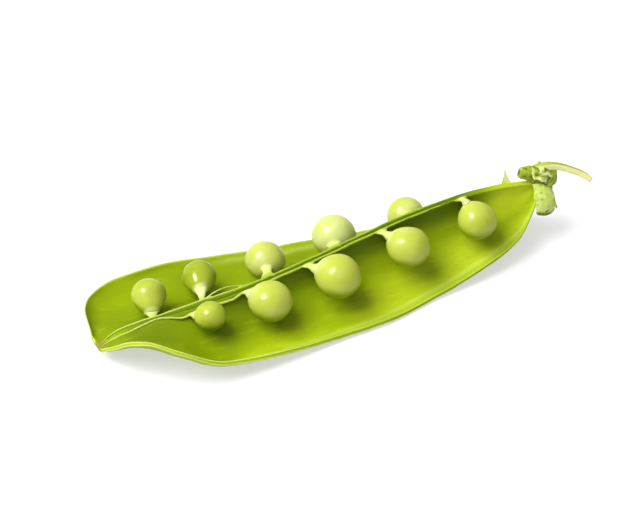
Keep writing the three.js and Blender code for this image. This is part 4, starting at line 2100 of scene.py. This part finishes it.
@dataclass
class PeaPod:
    """The opened pod: its wall, two strands with their peas, calyx and stem.

    Attributes:
        form: the form that every piece is set against.
        peas: the peas in each valve.
        strands: the strand that carries each valve's peas.
    """

    form: PodForm = field(default_factory=PodForm)
    peas: dict[Valve, list[Pea]] = field(
        default_factory=lambda: {
            Valve.FRONT: [
                Pea(Valve.FRONT, 1, 69.9, 5.33, 10.05, 3.45, 0.9, 0.35, 0.35, (1.3, 0.55, 0.9), 0.3),
                Pea(Valve.FRONT, 2, 56.5, 5.35, 9.0, 3.75, 3.2, 0.5, 0.35, (1.4, 0.6, 1.1)),
                Pea(Valve.FRONT, 3, 42.7, 5.7, 7.8, 4.0, 3.5, 0.5, 0.35, (1.4, 0.65, 1.15)),
                Pea(Valve.FRONT, 4, 30.0, 5.47, 6.6, 3.75, 2.4, 0.55, 0.3, (1.4, 0.6, 1.1)),
                Pea(Valve.FRONT, 5, 19.3, 4.4, 6.1, 2.7, 2.1, 0.25, 0.35, (1.0, 0.55, 0.9)),
            ],
            Valve.BACK: [
                Pea(Valve.BACK, 1, 61.2, 5.2, 6.55, 3.35, 2.0, 0.6),
                Pea(Valve.BACK, 2, 47.3, 5.85, 6.55, 3.9, 2.5, 0.85),
                Pea(Valve.BACK, 3, 34.0, 5.85, 5.7, 3.55, 1.8, 0.6, 0.0, (1.3, 0.8, 1.3), 0.35),
                Pea(Valve.BACK, 4, 22.3, 7.5, 4.65, 3.1, 2.3, -0.1, 1.0, (0.5, 0.65, 1.2)),
                Pea(Valve.BACK, 5, 12.1, 5.25, 5.5, 3.15, 1.2, 0.25, 1.0, (0.6, 0.85, 1.5)),
            ],
        }
    )
    strands: dict[Valve, Strand] = field(
        default_factory=lambda: {
            Valve.FRONT: Strand(
                Valve.FRONT,
                (
                    (0.9, 0.1, 0.0),
                    (3.0, 0.62, 0.12),
                    (6.0, 0.8, 0.12),
                    (9.0, 0.6, 0.12),
                    (11.5, 0.4, 0.12),
                    (13.5, 1.0, 0.05),
                    (15.5, 1.6, -0.25),
                    (17.5, 1.3, -0.1),
                    (19.5, 0.95, 0.08),
                    (22, 1.3, -0.05),
                    (24.5, 1.35, -0.1),
                    (27, 0.85, 0.05),
                    (33, 0.58, 0.0),
                    (45, 0.5, -0.04),
                    (58, 0.5, -0.06),
                    (67, 0.48, -0.1),
                    (73, 0.42, -0.35),
                ),
                ((0.9, 0.2), (8, 0.22), (30, 0.25), (50, 0.22), (73, 0.16)),
                ((0.9, 0.34), (28, 0.34), (36, 0.16), (64, 0.08), (73, 0.0)),
            ),
            Valve.BACK: Strand(
                Valve.BACK,
                (
                    (0.9, 0.15, 0.05),
                    (3.0, 0.62, 0.15),
                    (5.5, 0.72, 0.12),
                    (8.5, 0.55, 0.1),
                    (11.5, 0.35, 0.12),
                    (14, 0.6, 0.08),
                    (20, 0.72, 0.1),
                    (26, 0.62, 0.0),
                    (36, 0.5, -0.04),
                    (48, 0.5, -0.04),
                    (60, 0.5, -0.04),
                    (68, 0.48, -0.08),
                    (76, 0.4, -0.3),
                ),
                ((0.9, 0.18), (8, 0.2), (30, 0.22), (50, 0.2), (76, 0.16)),
                ((0.9, 0.34), (20, 0.34), (32, 0.15), (76, 0.08)),
                (
                    (20.6, 0.9, 0.1),
                    (22.4, 1.2, 0.55),
                    (24.4, 1.35, 0.65),
                    (26.3, 1.1, 0.4),
                    (27.8, 0.7, 0.05),
                ),
            ),
        }
    )

    def build(self) -> None:
        """Builds and dresses every piece."""
        shell = PodShell(self.form, self.peas)
        wall = shell.build()
        shell.dress(wall)
        report(wall)
        strand_skin = StrandSkin().material()
        pea_skin = PeaSkin().material()
        for valve, strand in self.strands.items():
            made = strand.build(self.form, self.peas[valve])
            strand.dress(made, strand_skin)
            report(made)
            for pea in self.peas[valve]:
                seed = pea.build(self.form, strand)
                pea.dress(seed, pea_skin)
                report(seed)
        calyx = Calyx()
        leaves = calyx.build()
        calyx.dress(leaves)
        report(leaves)
        stem = Stem()
        stalk = stem.build()
        stem.dress(stalk)
        report(stalk)


def report(made: bpy.types.Object) -> None:
    """Logs a piece's name and size."""
    log.info("%s: %d faces", made.name, len(made.data.polygons))


def main() -> None:
    """Builds the pod and the studio round it."""
    logging.basicConfig(level=logging.INFO, format="%(name)s: %(message)s")
    PeaPod().build()
    Studio().build()
    log.info("studio ready")


if __name__ == "__main__":
    main()
